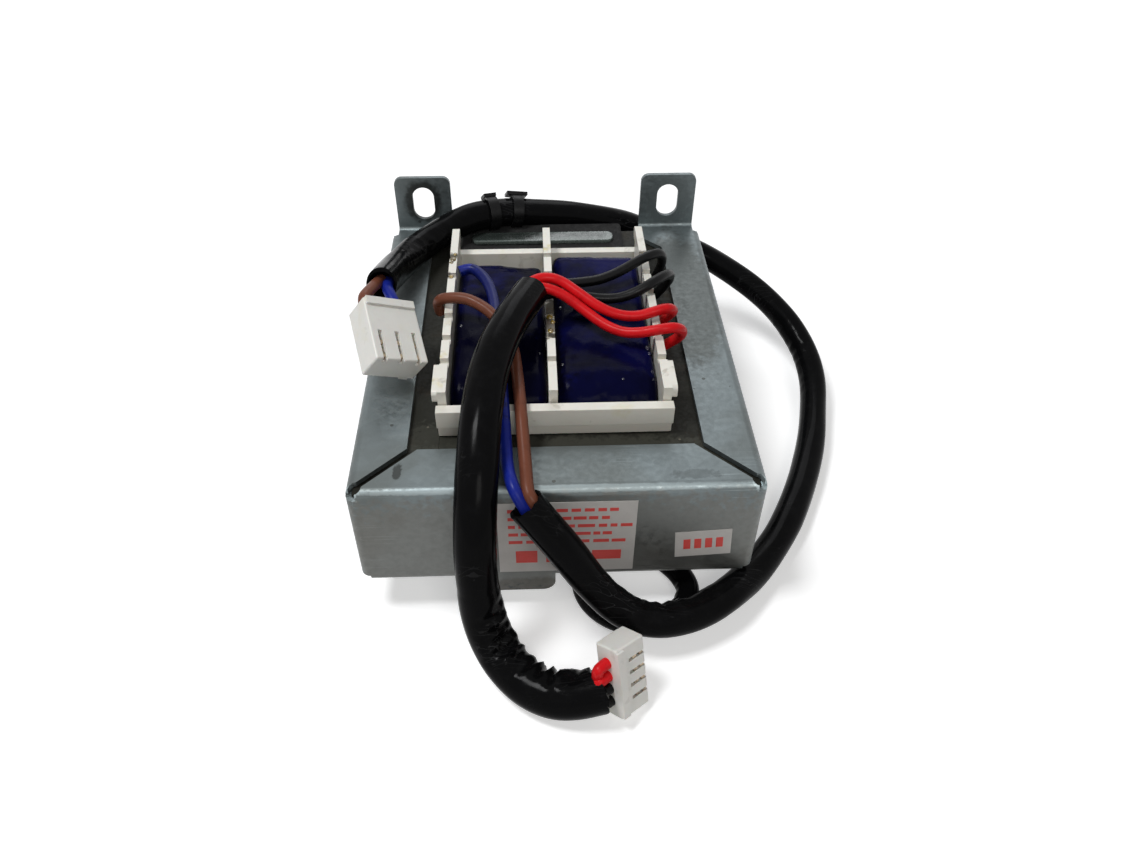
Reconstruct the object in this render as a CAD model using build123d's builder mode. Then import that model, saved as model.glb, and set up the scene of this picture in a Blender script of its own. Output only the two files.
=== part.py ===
"""Small chassis-mount electrical transformer with sleeved leads and plug connectors."""
import math
import os

from build123d import *

# Overrun by which every cut passes the face that it opens
overrun = 2.0

# Laminated core: an E-I outline worked out from its depth, which is six lamination modules
core_depth = 85.8
stack_height = 21.7
lamination_module = core_depth / 6
core_width = 5 * lamination_module
window_half_width = core_width / 2 - lamination_module
window_outer = core_depth / 2 - lamination_module

# Clamp frame bent from one sheet
sheet = 1.0
frame_fit = 0.25
bend_radius = 1.8
corner_bend_radius = 1.8
side_flange = 10.0
front_flange = 10.8
mitre_gap = 1.5
mitre_relief_radius = 1.2
mitre_relief_inset = 1.7
bobbin_overhang = 8.0
frame_bottom = bobbin_overhang
frame_height = stack_height + 2 * (sheet + frame_fit)
frame_top = frame_bottom + frame_height
frame_half_width = core_width / 2 + frame_fit + sheet
frame_front = -(core_depth / 2 + frame_fit + sheet)
frame_rear = core_depth / 2 + frame_fit
core_bottom = frame_bottom + sheet + frame_fit
core_top = core_bottom + stack_height
core_middle = core_bottom + stack_height / 2

# Mounting ears at the rear ends of the upper side flanges
ear_width = 13.0
ear_height = 13.4
ear_inset = 1.55
ear_outer = frame_half_width - ear_inset
ear_inner = ear_outer - ear_width
ear_rear = frame_rear + sheet
ear_corner_radius = 1.8
ear_slot_width = 5.0
ear_slot_length = 8.3
ear_slot_rise = 6.8
ear_relief_depth = 2.5
flare_length = 4.5

# Tongue left straight at the lower edge of the front wall
tongue_width = 13.5
tongue_drop = 3.6
tongue_centre = -7.2
tongue_corner_radius = 2.4

# Soft pad on the rear leg of the core, with a packing strip on it
pad_side_gap = 3.45
pad_width = 2 * (ear_inner - pad_side_gap)
pad_thickness = 1.2
pad_setback = 1.4
pad_rear_inset = 0.9
pad_corner_radius = 0.8
strip_end_gap = 2.3
strip_width = pad_width - 2 * strip_end_gap
strip_depth = 4.0
strip_thickness = 1.0
strip_centre = -1.0
strip_setback = 6.8
strip_corner_radius = 1.6

# Two-section bobbin
bobbin_fit = 0.2
bobbin_side_fit = 0.1
bobbin_wall = 1.2
flange_thickness = 1.6
divider_centre = -0.3
flange_hook = 1.6
flange_tab_reach = 1.0
flange_tab_length = 8.5
hook_radius_share = 0.33
wire_notch_width = 1.6
wire_notch_depth = 1.2
wire_notch_pitch = 7.2
wire_notch_count = 6
flange_height = frame_height + 2 * bobbin_overhang
bobbin_half_width = window_half_width - bobbin_side_fit
bobbin_half_depth = window_outer - bobbin_fit
tube_half_depth = lamination_module + bobbin_fit + bobbin_wall
tube_half_height = stack_height / 2 + bobbin_fit + bobbin_wall

# Insulating liners between the windings and the outer legs of the core
liner_wall = 1.2
liner_fit = 0.2
liner_rise = 5.1
liner_lip = 0.5
liner_overlap = 0.3
liner_step_height = 2.0
liner_groove = 0.3
liner_rim_lip = 0.9
liner_rim_overlap = 0.5
liner_inner = bobbin_half_depth - liner_wall
liner_half_height = frame_height / 2 + liner_rise
flange_waist = liner_inner - liner_fit
hook_height = flange_height / 2 - liner_half_height - liner_fit
hook_level = flange_height / 2 - hook_height / 2

# Windings wrapped in tape
winding_fit = 0.2
winding_side_gap = 1.2
winding_rise = 5.5
winding_corner_radius = 8.0
winding_edge_radius = 1.8
winding_half_depth = liner_inner - winding_side_gap
winding_half_height = frame_height / 2 + winding_rise

# Leads and sleeves
primary_lead_diameter = 2.3
secondary_lead_diameter = 2.1
primary_sleeve_diameter = 6.3
secondary_sleeve_diameter = 7.2
loop_diameter = 4.5

primary_sleeve_route = [
    (-5.6, -47.8, 32.8), (-1.9, -49.2, 27.9), (1.9, -50.6, 22.1), (5.8, -52.0, 15.9),
    (10.2, -53.5, 11.0), (16.2, -54.8, 7.9), (23.6, -53.4, 7.2), (31.4, -49.0, 6.4),
    (40.3, -39.6, 4.2), (48.6, -27.7, 3.4), (56.0, -12.8, 3.6), (61.1, 2.6, 4.4),
    (63.6, 15.0, 6.4), (62.6, 24.8, 9.3), (58.3, 32.9, 13.0), (51.5, 39.8, 16.6),
    (43.8, 45.2, 19.8), (35.5, 48.7, 22.9), (27.0, 49.8, 26.2), (18.5, 48.9, 30.2),
    (9.5, 47.0, 32.9), (0.0, 46.0, 34.4), (-9.0, 44.6, 35.9), (-17.0, 41.8, 36.4),
    (-23.9, 36.4, 35.8), (-29.4, 29.0, 35.7), (-32.4, 20.5, 37.0), (-33.6, 11.5, 40.2),
    (-33.9, 2.6, 43.6),
]
secondary_sleeve_route = [
    (-4.2, -2.3, 44.3), (-6.3, -7.8, 44.9), (-8.5, -13.8, 45.1), (-10.5, -20.0, 44.7),
    (-12.0, -26.4, 43.7), (-12.9, -33.0, 42.0), (-13.4, -39.6, 39.2), (-14.0, -46.0, 34.8),
    (-14.4, -50.8, 28.4), (-14.5, -53.2, 20.6), (-14.0, -54.8, 13.0), (-12.4, -57.2, 7.2),
    (-9.4, -61.0, 4.5), (-5.0, -65.2, 3.8), (0.4, -67.7, 4.2), (5.4, -67.5, 6.0),
]
brown_lead_route = [
    (-22.6, 1.9, 37.2), (-23.0, 1.1, 39.4), (-22.2, 0.0, 41.7), (-19.6, -0.9, 42.6), (-16.9, -1.7, 42.9),
    (-14.3, -3.2, 42.5), (-11.6, -5.6, 41.9), (-8.8, -9.6, 40.5), (-7.4, -14.6, 39.4), (-6.9, -20.4, 39.0),
    (-6.5, -26.0, 38.95), (-6.2, -30.8, 38.5), (-5.9, -35.4, 36.8), (-5.5, -41.2, 34.9), (-5.3, -45.8, 34.0),
]
blue_lead_route = [
    (-19.1, 13.4, 39.3), (-17.0, 14.2, 39.8), (-14.8, 12.6, 39.5), (-12.8, 8.8, 39.2), (-11.6, 3.2, 39.05),
    (-11.0, -3.4, 38.95), (-10.8, -10.4, 38.95), (-10.3, -17.6, 38.95), (-9.7, -24.6, 39.0),
    (-9.3, -30.6, 38.5), (-9.0, -36.0, 36.3), (-8.7, -41.0, 34.7), (-7.8, -45.2, 34.6),
]
red_lead_routes = [
    [(-4.6, -0.7, 45.5), (-1.6, 0.9, 46.0), (1.8, 0.6, 45.4), (5.4, -2.2, 44.1), (9.2, -5.2, 42.7),
     (13.2, -6.6, 41.6), (17.0, -6.6, 41.3), (20.2, -6.1, 42.1), (22.9, -5.4, 42.4), (24.5, -3.8, 40.6),
     (24.2, -0.6, 37.2), (22.9, 2.2, 33.2)],
    [(-2.5, -1.5, 45.3), (0.8, -1.9, 44.6), (4.0, -3.6, 43.3), (7.0, -6.0, 42.0), (10.0, -8.6, 41.0),
     (13.4, -10.8, 40.6), (16.9, -11.8, 41.2), (20.2, -12.2, 42.2), (23.0, -11.9, 42.5),
     (25.2, -10.6, 41.0), (25.6, -8.6, 38.0), (24.4, -6.6, 35.2), (22.9, -5.6, 33.2)],
]
black_lead_routes = [
    [(-4.7, -1.0, 42.9), (-1.9, 1.6, 42.7), (1.6, 4.0, 42.0), (5.6, 5.9, 41.0), (10.2, 7.6, 40.4),
     (14.8, 9.8, 41.0), (18.6, 12.0, 42.1), (21.8, 13.9, 42.6), (24.2, 15.8, 41.6), (24.7, 17.0, 38.6),
     (24.0, 17.4, 35.6), (22.9, 17.3, 33.2)],
    [(-2.6, -1.8, 42.9), (0.4, 0.4, 42.5), (4.0, 1.4, 41.4), (7.6, 1.6, 40.4), (11.2, 1.5, 39.9),
     (14.8, 1.6, 40.2), (18.2, 2.2, 41.4), (21.2, 3.8, 42.5), (23.9, 6.6, 42.2), (25.5, 9.6, 40.4),
     (25.4, 11.4, 37.0), (22.9, 12.2, 33.2)],
]
underside_loop_route = [
    (7.2, -30.1, 3.9), (6.2, -34.4, 3.2), (4.6, -39.6, 2.6), (5.8, -46.0, 2.5), (10.6, -50.6, 2.5),
    (17.4, -51.6, 2.5), (23.4, -49.0, 2.5), (26.0, -43.6, 2.5), (23.8, -38.8, 2.7),
    (19.6, -35.0, 3.2), (17.2, -30.5, 3.7),
]

# Crimp connector on the primary sleeve, three ways wide
primary_plug_width = 11.1
primary_plug_length = 13.6
primary_plug_height = 6.5
primary_plug_ways = 3
primary_plug_pitch = 3.6
primary_plug_centre = (-31.6, -10.9, 40.3)
primary_plug_across = (0.775, 0.423, -0.468)
primary_plug_up = (0.569, -0.200, 0.797)
primary_slot_width = 0.9
primary_slot_length = 6.0
primary_slot_depth = 1.4
plug_lip_length = 1.6
plug_lip_height = 0.5
plug_key_width = 1.8
plug_key_height = 0.9
plug_key_length = 4.0
plug_edge_radius = 0.4

# Crimp connector on the secondary sleeve, a row of narrow ways
secondary_plug_width = 13.8
secondary_plug_length = 6.8
secondary_plug_height = 4.9
secondary_plug_ways = 4
secondary_plug_pitch = 2.5
secondary_plug_centre = (10.6, -65.1, 7.9)
secondary_plug_across = (-0.100, 0.400, 0.911)
secondary_plug_up = (0.650, -0.666, 0.364)
secondary_slot_width = 0.7
secondary_slot_length = 3.6
secondary_slot_depth = 1.0
plug_wire_length = 2.4
plug_wire_fit = 0.05

# Cable ties round the primary sleeve at the rear edge, each on one run of its route
tie_route_shares = (21.8 / 28, 22.5 / 28)
tie_head_lengths = (5.0, 3.0)
tie_lean = (0, 0.68, 0.73)
tie_width = 2.5
tie_thickness = 0.6
tie_head_width = 3.4
tie_head_height = 0.8
tie_fit = 0.25

os.makedirs("parts", exist_ok=True)


def write(piece, label):
    """Name a finished piece and write it as one solid model file."""
    piece.part.label = label
    export_step(piece.part, f"parts/{label}.step")


def bend_radii(route):
    """Largest tangent arc at each corner of a cord's route."""
    fill_share = 0.45
    points = [Vector(*point) for point in route]
    radii = []
    for before, corner, after in zip(points, points[1:], points[2:]):
        arriving = corner - before
        leaving = after - corner
        half_turn = math.radians(arriving.get_angle(leaving)) / 2
        radii.append(fill_share * min(arriving.length, leaving.length) / math.tan(half_turn))
    return radii


def cord(label, route, diameter):
    """A round lead or sleeve along straight runs and tangent arcs."""
    radii = bend_radii(route)
    with BuildPart() as piece:
        with BuildLine() as path:
            FilletPolyline(*route, radius=radii)
        with BuildSketch(Plane(origin=path.wire() @ 0, z_dir=path.wire() % 0)):
            Circle(diameter / 2)
        sweep(path=path.wire())
    length = path.wire().length
    section = math.pi * diameter ** 2 / 4
    print(f"{label}: length {length:.1f}, smallest radius {min(radii):.1f} of diameter {diameter},"
          f" volume share {piece.part.volume / (section * length):.4f}")
    print("   radii", " ".join(f"{radius:.1f}" for radius in radii))
    write(piece, label)


def channel_profile(depth):
    """Half of a rounded ring: a web with a flange bent over at each end."""
    RectangleRounded(2 * depth, frame_height, bend_radius)
    RectangleRounded(2 * (depth - sheet), frame_height - 2 * sheet, bend_radius - sheet, mode=Mode.SUBTRACT)
    Rectangle(depth + overrun, frame_height + overrun, align=(Align.MIN, Align.CENTER), mode=Mode.SUBTRACT)


# Clamp frame: a channel round three sides of the core, with mitred flanges and two ears
side_length = frame_rear - frame_front - corner_bend_radius
with BuildPart() as clamp_frame:
    left_plane = Plane(
        origin=(-frame_half_width + side_flange, frame_front + corner_bend_radius, core_middle),
        x_dir=(1, 0, 0), z_dir=(0, -1, 0))
    with BuildSketch(left_plane):
        channel_profile(side_flange)
    extrude(amount=-side_length)
    mirror(about=Plane.YZ)
    front_plane = Plane(
        origin=(-frame_half_width + corner_bend_radius, frame_front + front_flange, core_middle),
        x_dir=(0, 1, 0), z_dir=(1, 0, 0))
    with BuildSketch(front_plane):
        channel_profile(front_flange)
    extrude(amount=2 * (frame_half_width - corner_bend_radius))
    with BuildSketch(Plane.XY.offset(frame_bottom + bend_radius)):
        with Locations((-frame_half_width + corner_bend_radius, frame_front + corner_bend_radius)):
            Circle(corner_bend_radius)
            Circle(corner_bend_radius - sheet, mode=Mode.SUBTRACT)
            Rectangle(
                corner_bend_radius, corner_bend_radius, align=(Align.MAX, Align.MAX), mode=Mode.INTERSECT)
        mirror(about=Plane.YZ)
    extrude(amount=frame_height - 2 * bend_radius)
    mitre_length = math.hypot(front_flange, front_flange) + overrun
    for level in (frame_bottom - overrun, frame_top - bend_radius):
        with BuildSketch(Plane.XY.offset(level)):
            with Locations((-frame_half_width, frame_front)):
                Rectangle(mitre_length, mitre_gap, rotation=45, align=(Align.MIN, Align.CENTER))
            with Locations((-frame_half_width + mitre_relief_inset, frame_front + mitre_relief_inset)):
                Circle(mitre_relief_radius)
            mirror(about=Plane.YZ)
        extrude(amount=bend_radius + overrun, mode=Mode.SUBTRACT)
    ear_bend_start = ear_rear - bend_radius
    with BuildSketch(Plane.XY.offset(frame_top - bend_radius)):
        for side in (-1, 1):
            with Locations((side * frame_half_width, frame_rear - ear_relief_depth)):
                Rectangle(2 * ear_inset, ear_relief_depth + overrun, align=(Align.CENTER, Align.MIN))
            with Locations((side * ear_outer, ear_bend_start)):
                Rectangle(2 * side_flange, bend_radius + overrun, align=(Align.CENTER, Align.MIN))
    extrude(amount=bend_radius + overrun, mode=Mode.SUBTRACT)
    flange_inner = frame_half_width - side_flange
    for side in (-1, 1):
        with BuildSketch(Plane.XY.offset(frame_top - sheet)):
            with BuildLine():
                Polyline(
                    (side * flange_inner, ear_bend_start - 2 * flare_length),
                    (side * ear_inner, ear_bend_start - flare_length),
                    (side * ear_inner, ear_bend_start),
                    (side * flange_inner, ear_bend_start),
                    close=True)
            make_face()
        extrude(amount=sheet)
        with BuildSketch(Plane.YZ.offset(min(side * ear_inner, side * ear_outer))):
            with BuildLine():
                under = FilletPolyline(
                    (ear_bend_start - sheet, frame_top - sheet), (ear_rear, frame_top - sheet),
                    (ear_rear, frame_top + ear_height), radius=bend_radius)
                over = FilletPolyline(
                    (ear_bend_start - sheet, frame_top), (ear_rear - sheet, frame_top),
                    (ear_rear - sheet, frame_top + ear_height), radius=bend_radius - sheet)
                Line(under @ 0, over @ 0)
                Line(under @ 1, over @ 1)
            make_face()
        extrude(amount=ear_width)
    fillet(clamp_frame.edges().filter_by(Axis.Y).group_by(Axis.Z)[-1], ear_corner_radius)
    with BuildSketch(Plane.XZ.offset(-(ear_rear + overrun))):
        with Locations(
                (ear_inner + ear_width / 2, frame_top + ear_slot_rise),
                (-ear_inner - ear_width / 2, frame_top + ear_slot_rise)):
            SlotOverall(ear_slot_length, ear_slot_width, rotation=90)
    extrude(amount=sheet + 2 * overrun, mode=Mode.SUBTRACT)
    with BuildSketch(Plane.XZ.offset(-frame_front)) as tongue_outline:
        with Locations((tongue_centre, frame_bottom - tongue_drop)):
            Rectangle(tongue_width, tongue_drop + bend_radius, align=(Align.CENTER, Align.MIN))
        fillet(tongue_outline.vertices().group_by(Axis.Y)[0], tongue_corner_radius)
    extrude(amount=-sheet)
write(clamp_frame, "clamp_frame")


def slab(label, width, setback, depth, centre, floor, thickness, corner_radius):
    """Flat rounded slab above the rear leg of the core, set back from the core window."""
    with BuildPart() as piece:
        with BuildSketch(Plane.XY.offset(floor)):
            with Locations((centre, window_outer + setback + depth / 2)):
                RectangleRounded(width, depth, corner_radius)
        extrude(amount=thickness)
    write(piece, label)


pad_depth = lamination_module - pad_setback - pad_rear_inset
slab("rear_pad", pad_width, pad_setback, pad_depth, strip_centre, core_top, pad_thickness, pad_corner_radius)
slab("packing_strip", strip_width, strip_setback, strip_depth, strip_centre, core_top + pad_thickness,
     strip_thickness, strip_corner_radius)

# Core stacks: the E with its three legs, and the I bar that closes it
with BuildPart() as e_laminations:
    with BuildSketch(Plane.XY.offset(core_bottom)):
        with Locations((-core_width / 2, 0)):
            Rectangle(core_width - lamination_module, core_depth, align=(Align.MIN, Align.CENTER))
        window_middle = (window_outer + lamination_module) / 2
        with Locations((-window_half_width, window_middle), (-window_half_width, -window_middle)):
            Rectangle(
                3 * lamination_module, lamination_module, align=(Align.MIN, Align.CENTER), mode=Mode.SUBTRACT)
    extrude(amount=stack_height)
write(e_laminations, "e_laminations")

with BuildPart() as i_laminations:
    with BuildSketch(Plane.XY.offset(core_bottom)):
        with Locations((window_half_width, 0)):
            Rectangle(lamination_module, core_depth, align=(Align.MIN, Align.CENTER))
    extrude(amount=stack_height)
write(i_laminations, "i_laminations")


def flange_outline():
    """Flange plate seen along the coil: stepped ends that hook over the liners."""
    Rectangle(2 * flange_waist, flange_height)
    hook_length = flange_waist + bobbin_half_depth + flange_hook
    hook_middle = hook_length / 2 - flange_waist
    with Locations((hook_middle, hook_level), (hook_middle, -hook_level)):
        RectangleRounded(hook_length, hook_height, hook_radius_share * hook_height)
    notch_level = flange_height / 2 - wire_notch_depth / 2
    for level in (notch_level, -notch_level):
        with Locations((0, level)):
            with GridLocations(wire_notch_pitch, 0, wire_notch_count, 1):
                Rectangle(wire_notch_width, wire_notch_depth, mode=Mode.SUBTRACT)
    Rectangle(2 * (lamination_module + bobbin_fit), stack_height + 2 * bobbin_fit, mode=Mode.SUBTRACT)


# Bobbin: a square tube round the centre leg with three flanges
with BuildPart() as bobbin:
    coil_plane = Plane(origin=(-bobbin_half_width, 0, core_middle), x_dir=(0, 1, 0), z_dir=(1, 0, 0))
    with BuildSketch(coil_plane):
        Rectangle(2 * tube_half_depth, 2 * tube_half_height)
        Rectangle(
            2 * (tube_half_depth - bobbin_wall), 2 * (tube_half_height - bobbin_wall), mode=Mode.SUBTRACT)
    extrude(amount=2 * bobbin_half_width)
    divider_start = bobbin_half_width + divider_centre - flange_thickness / 2
    for start in (0, divider_start, 2 * bobbin_half_width - flange_thickness):
        with BuildSketch(coil_plane.offset(start)):
            flange_outline()
        extrude(amount=flange_thickness)
    for start in (-flange_tab_reach, 2 * bobbin_half_width):
        with BuildSketch(coil_plane.offset(start)):
            with Locations((flange_tab_length / 2 - flange_waist, 0)):
                with GridLocations(0, 2 * hook_level, 1, 2):
                    RectangleRounded(flange_tab_length, hook_height, hook_radius_share * hook_height)
        extrude(amount=flange_tab_reach)
write(bobbin, "bobbin")


def liner(label, facing):
    """Insulating wall in a core window: a step lies on the core above and below, under a thicker rim."""
    with BuildPart() as piece:
        half_width = window_half_width - liner_fit
        with BuildSketch(Plane.XY.offset(core_middle - liner_half_height)):
            with Locations((0, facing * (liner_inner + liner_wall / 2))):
                Rectangle(2 * half_width, liner_wall)
        extrude(amount=2 * liner_half_height)
        lip_start = stack_height / 2 + liner_fit
        rim_start = lip_start + liner_step_height + liner_groove
        rim_height = liner_half_height - rim_start
        for start, height, lip, overlap in (
                (lip_start, liner_step_height, liner_lip, liner_overlap),
                (rim_start, rim_height, liner_rim_lip, liner_rim_overlap)):
            for level in (core_middle + start, core_middle - start - height):
                with BuildSketch(Plane.XY.offset(level)):
                    with Locations((0, facing * (liner_inner + (liner_wall + lip) / 2))):
                        Rectangle(2 * (half_width + overlap), liner_wall + lip)
                extrude(amount=height)
    write(piece, label)


liner("front_liner", -1)
liner("rear_liner", 1)


def winding(label, start, end):
    """Tape-wrapped coil between two flanges, with rounded corners."""
    with BuildPart() as piece:
        with BuildSketch(Plane(origin=(start, 0, core_middle), x_dir=(0, 1, 0), z_dir=(1, 0, 0))):
            RectangleRounded(2 * winding_half_depth, 2 * winding_half_height, winding_corner_radius)
        extrude(amount=end - start)
        end_faces = piece.faces().filter_by(Axis.X)
        fillet(end_faces.edges(), winding_edge_radius)
        with BuildSketch(Plane(origin=(start, 0, core_middle), x_dir=(0, 1, 0), z_dir=(1, 0, 0))):
            Rectangle(2 * (tube_half_depth + winding_fit), 2 * (tube_half_height + winding_fit))
        extrude(amount=end - start, mode=Mode.SUBTRACT)
    write(piece, label)


section_left = -bobbin_half_width + flange_thickness
divider_left = divider_centre - flange_thickness / 2
divider_right = divider_centre + flange_thickness / 2
section_right = bobbin_half_width - flange_thickness
winding("primary_winding", section_left + winding_fit, divider_left - winding_fit)
winding("secondary_winding", divider_right + winding_fit, section_right - winding_fit)

# Leads from the bobbin's edges to the two sleeves
cord("brown_lead", brown_lead_route, primary_lead_diameter)
cord("blue_lead", blue_lead_route, primary_lead_diameter)
for number, route in enumerate(red_lead_routes, start=1):
    cord(f"red_lead_{number}", route, secondary_lead_diameter)
for number, route in enumerate(black_lead_routes, start=1):
    cord(f"black_lead_{number}", route, secondary_lead_diameter)
cord("primary_sleeve", primary_sleeve_route, primary_sleeve_diameter)
cord("secondary_sleeve", secondary_sleeve_route, secondary_sleeve_diameter)
cord("underside_loop", underside_loop_route, loop_diameter)


def plug(label, plane, width, length, height, ways, pitch, slot):
    """Moulded crimp housing: wire end at +Y of its plane, contact slots in its upper face."""
    slot_width, slot_length, slot_depth = slot
    with BuildPart(plane) as piece:
        Box(width, length, height)
        fillet(piece.edges(), plug_edge_radius)
        with Locations((0, length / 2 - plug_lip_length / 2, height / 2)):
            Box(width - 2 * plug_edge_radius, plug_lip_length, 2 * plug_lip_height)
        with Locations((0, -length / 2 + slot_length / 2, height / 2)):
            with GridLocations(pitch, 0, ways, 1):
                Box(slot_width, slot_length + 2 * plug_edge_radius, 2 * slot_depth, mode=Mode.SUBTRACT)
        key_place = -length / 2 + plug_key_length / 2 + plug_edge_radius
        with Locations((width / 2 - plug_key_width, key_place, -height / 2)):
            Box(plug_key_width, plug_key_length, 2 * plug_key_height)
    write(piece, label)


def plug_plane(centre, across, up):
    """Workplane of a plug, from its centre, its row direction and its slotted face."""
    return Plane(origin=centre, x_dir=across, z_dir=up)


primary_plane = plug_plane(primary_plug_centre, primary_plug_across, primary_plug_up)
secondary_plane = plug_plane(secondary_plug_centre, secondary_plug_across, secondary_plug_up)
primary_slot = (primary_slot_width, primary_slot_length, primary_slot_depth)
secondary_slot = (secondary_slot_width, secondary_slot_length, secondary_slot_depth)
plug("primary_connector", primary_plane, primary_plug_width, primary_plug_length, primary_plug_height,
     primary_plug_ways, primary_plug_pitch, primary_slot)
plug("secondary_connector", secondary_plane, secondary_plug_width, secondary_plug_length,
     secondary_plug_height, secondary_plug_ways, secondary_plug_pitch, secondary_slot)


def plug_wire(label, plane, length, offset, diameter):
    """Short bare stretch of a lead where it enters the wire end of a plug."""
    with BuildPart(plane) as piece:
        with Locations((offset, length / 2 + plug_wire_fit + plug_wire_length / 2, 0)):
            Cylinder(diameter / 2, plug_wire_length, rotation=(90, 0, 0))
    write(piece, label)


plug_wire("brown_plug_wire", primary_plane, primary_plug_length, -primary_plug_pitch, primary_lead_diameter)
plug_wire("blue_plug_wire", primary_plane, primary_plug_length, primary_plug_pitch, primary_lead_diameter)
secondary_wire_names = ("black_plug_wire_2", "black_plug_wire_1", "red_plug_wire_2", "red_plug_wire_1")
for number, name in enumerate(secondary_wire_names):
    row_place = (number - (secondary_plug_ways - 1) / 2) * secondary_plug_pitch
    plug_wire(name, secondary_plane, secondary_plug_length, row_place, secondary_lead_diameter)


def cable_tie(label, route_share, head_length):
    """Strap ring with its head on the upper rear side of the sleeve."""
    leg, leg_share = divmod(route_share * (len(primary_sleeve_route) - 1), 1)
    start = Vector(*primary_sleeve_route[int(leg)])
    along = Vector(*primary_sleeve_route[int(leg) + 1]) - start
    plane = Plane(origin=start + along * leg_share, z_dir=along, x_dir=Vector(*tie_lean).cross(along))
    ring_radius = primary_sleeve_diameter / 2 + tie_fit
    with BuildPart(plane) as piece:
        Cylinder(ring_radius + tie_thickness, tie_width)
        Cylinder(ring_radius, tie_width + overrun, mode=Mode.SUBTRACT)
        with Locations((0, ring_radius + (tie_thickness + tie_head_height) / 2, 0)):
            Box(tie_head_width, tie_head_height, head_length)
    write(piece, label)


for number, place in enumerate(zip(tie_route_shares, tie_head_lengths), start=1):
    cable_tie(f"cable_tie_{number}", *place)
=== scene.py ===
"""Small chassis-mount electrical transformer: detailed pieces, materials and stage."""
import math
import random

import bmesh
import bpy
from bpy.props import FloatProperty, FloatVectorProperty, IntProperty, PointerProperty
from mathutils import Matrix, Vector, noise


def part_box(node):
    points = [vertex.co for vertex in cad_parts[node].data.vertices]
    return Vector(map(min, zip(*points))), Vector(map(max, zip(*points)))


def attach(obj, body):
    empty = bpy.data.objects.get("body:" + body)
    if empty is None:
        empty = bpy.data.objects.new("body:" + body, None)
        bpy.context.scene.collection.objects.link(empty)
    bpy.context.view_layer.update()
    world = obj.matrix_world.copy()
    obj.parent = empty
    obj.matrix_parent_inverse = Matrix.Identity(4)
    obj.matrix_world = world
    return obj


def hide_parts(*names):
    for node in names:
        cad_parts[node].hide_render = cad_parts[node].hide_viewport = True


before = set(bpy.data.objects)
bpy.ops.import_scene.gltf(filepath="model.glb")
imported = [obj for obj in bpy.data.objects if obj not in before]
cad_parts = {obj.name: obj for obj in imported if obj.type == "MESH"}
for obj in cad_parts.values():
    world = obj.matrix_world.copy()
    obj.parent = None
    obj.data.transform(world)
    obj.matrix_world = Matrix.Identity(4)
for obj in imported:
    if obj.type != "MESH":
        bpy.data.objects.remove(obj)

bl_info = {
    "name": "Chassis Transformer",
    "version": (1, 0, 0),
    "blender": (4, 5, 0),
    "location": "View3D > Sidebar > Transformer",
    "description": "Builds the detailed pieces, materials and stage of a chassis-mount transformer",
    "category": "Object",
}

MM = 0.001
FLOAT = "NodeSocketFloat"
VECTOR = "NodeSocketVector"

# Routes of the leads and sleeves, in millimetres, each from the end where it leaves the object
PRIMARY_SLEEVE = [
    (-5.6, -47.8, 32.8), (-1.9, -49.2, 27.9), (1.9, -50.6, 22.1), (5.8, -52.0, 15.9),
    (10.2, -53.5, 11.0), (16.2, -54.8, 7.9), (23.6, -53.4, 7.2), (31.4, -49.0, 6.4), (40.3, -39.6, 4.2),
    (48.6, -27.7, 3.4), (56.0, -12.8, 3.6), (61.1, 2.6, 4.4), (63.6, 15.0, 6.4), (62.6, 24.8, 9.3),
    (58.3, 32.9, 13.0), (51.5, 39.8, 16.6), (43.8, 45.2, 19.8), (35.5, 48.7, 22.9), (27.0, 49.8, 26.2),
    (18.5, 48.9, 30.2), (9.5, 47.0, 32.9), (0.0, 46.0, 34.4), (-9.0, 44.6, 35.9), (-17.0, 41.8, 36.4),
    (-23.9, 36.4, 35.8), (-29.4, 29.0, 35.7), (-32.4, 20.5, 37.0), (-33.6, 11.5, 40.2),
    (-33.9, 2.6, 43.6),
]
SECONDARY_SLEEVE = [
    (-4.2, -2.3, 44.3), (-6.3, -7.8, 44.9), (-8.5, -13.8, 45.1), (-10.5, -20.0, 44.7),
    (-12.0, -26.4, 43.7), (-12.9, -33.0, 42.0), (-13.4, -39.6, 39.2), (-14.0, -46.0, 34.8),
    (-14.4, -50.8, 28.4), (-14.5, -53.2, 20.6), (-14.0, -54.8, 13.0), (-12.4, -57.2, 7.2),
    (-9.4, -61.0, 4.5), (-5.0, -65.2, 3.8), (0.4, -67.7, 4.2), (5.4, -67.5, 6.0),
]
UNDERSIDE_LOOP = [
    (7.2, -30.1, 3.9), (6.2, -34.4, 3.2), (4.6, -39.6, 2.6), (5.8, -46.0, 2.5), (10.6, -50.6, 2.5),
    (17.4, -51.6, 2.5), (23.4, -49.0, 2.5), (26.0, -43.6, 2.5), (23.8, -38.8, 2.7), (19.6, -35.0, 3.2),
    (17.2, -30.5, 3.7),
]
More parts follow.
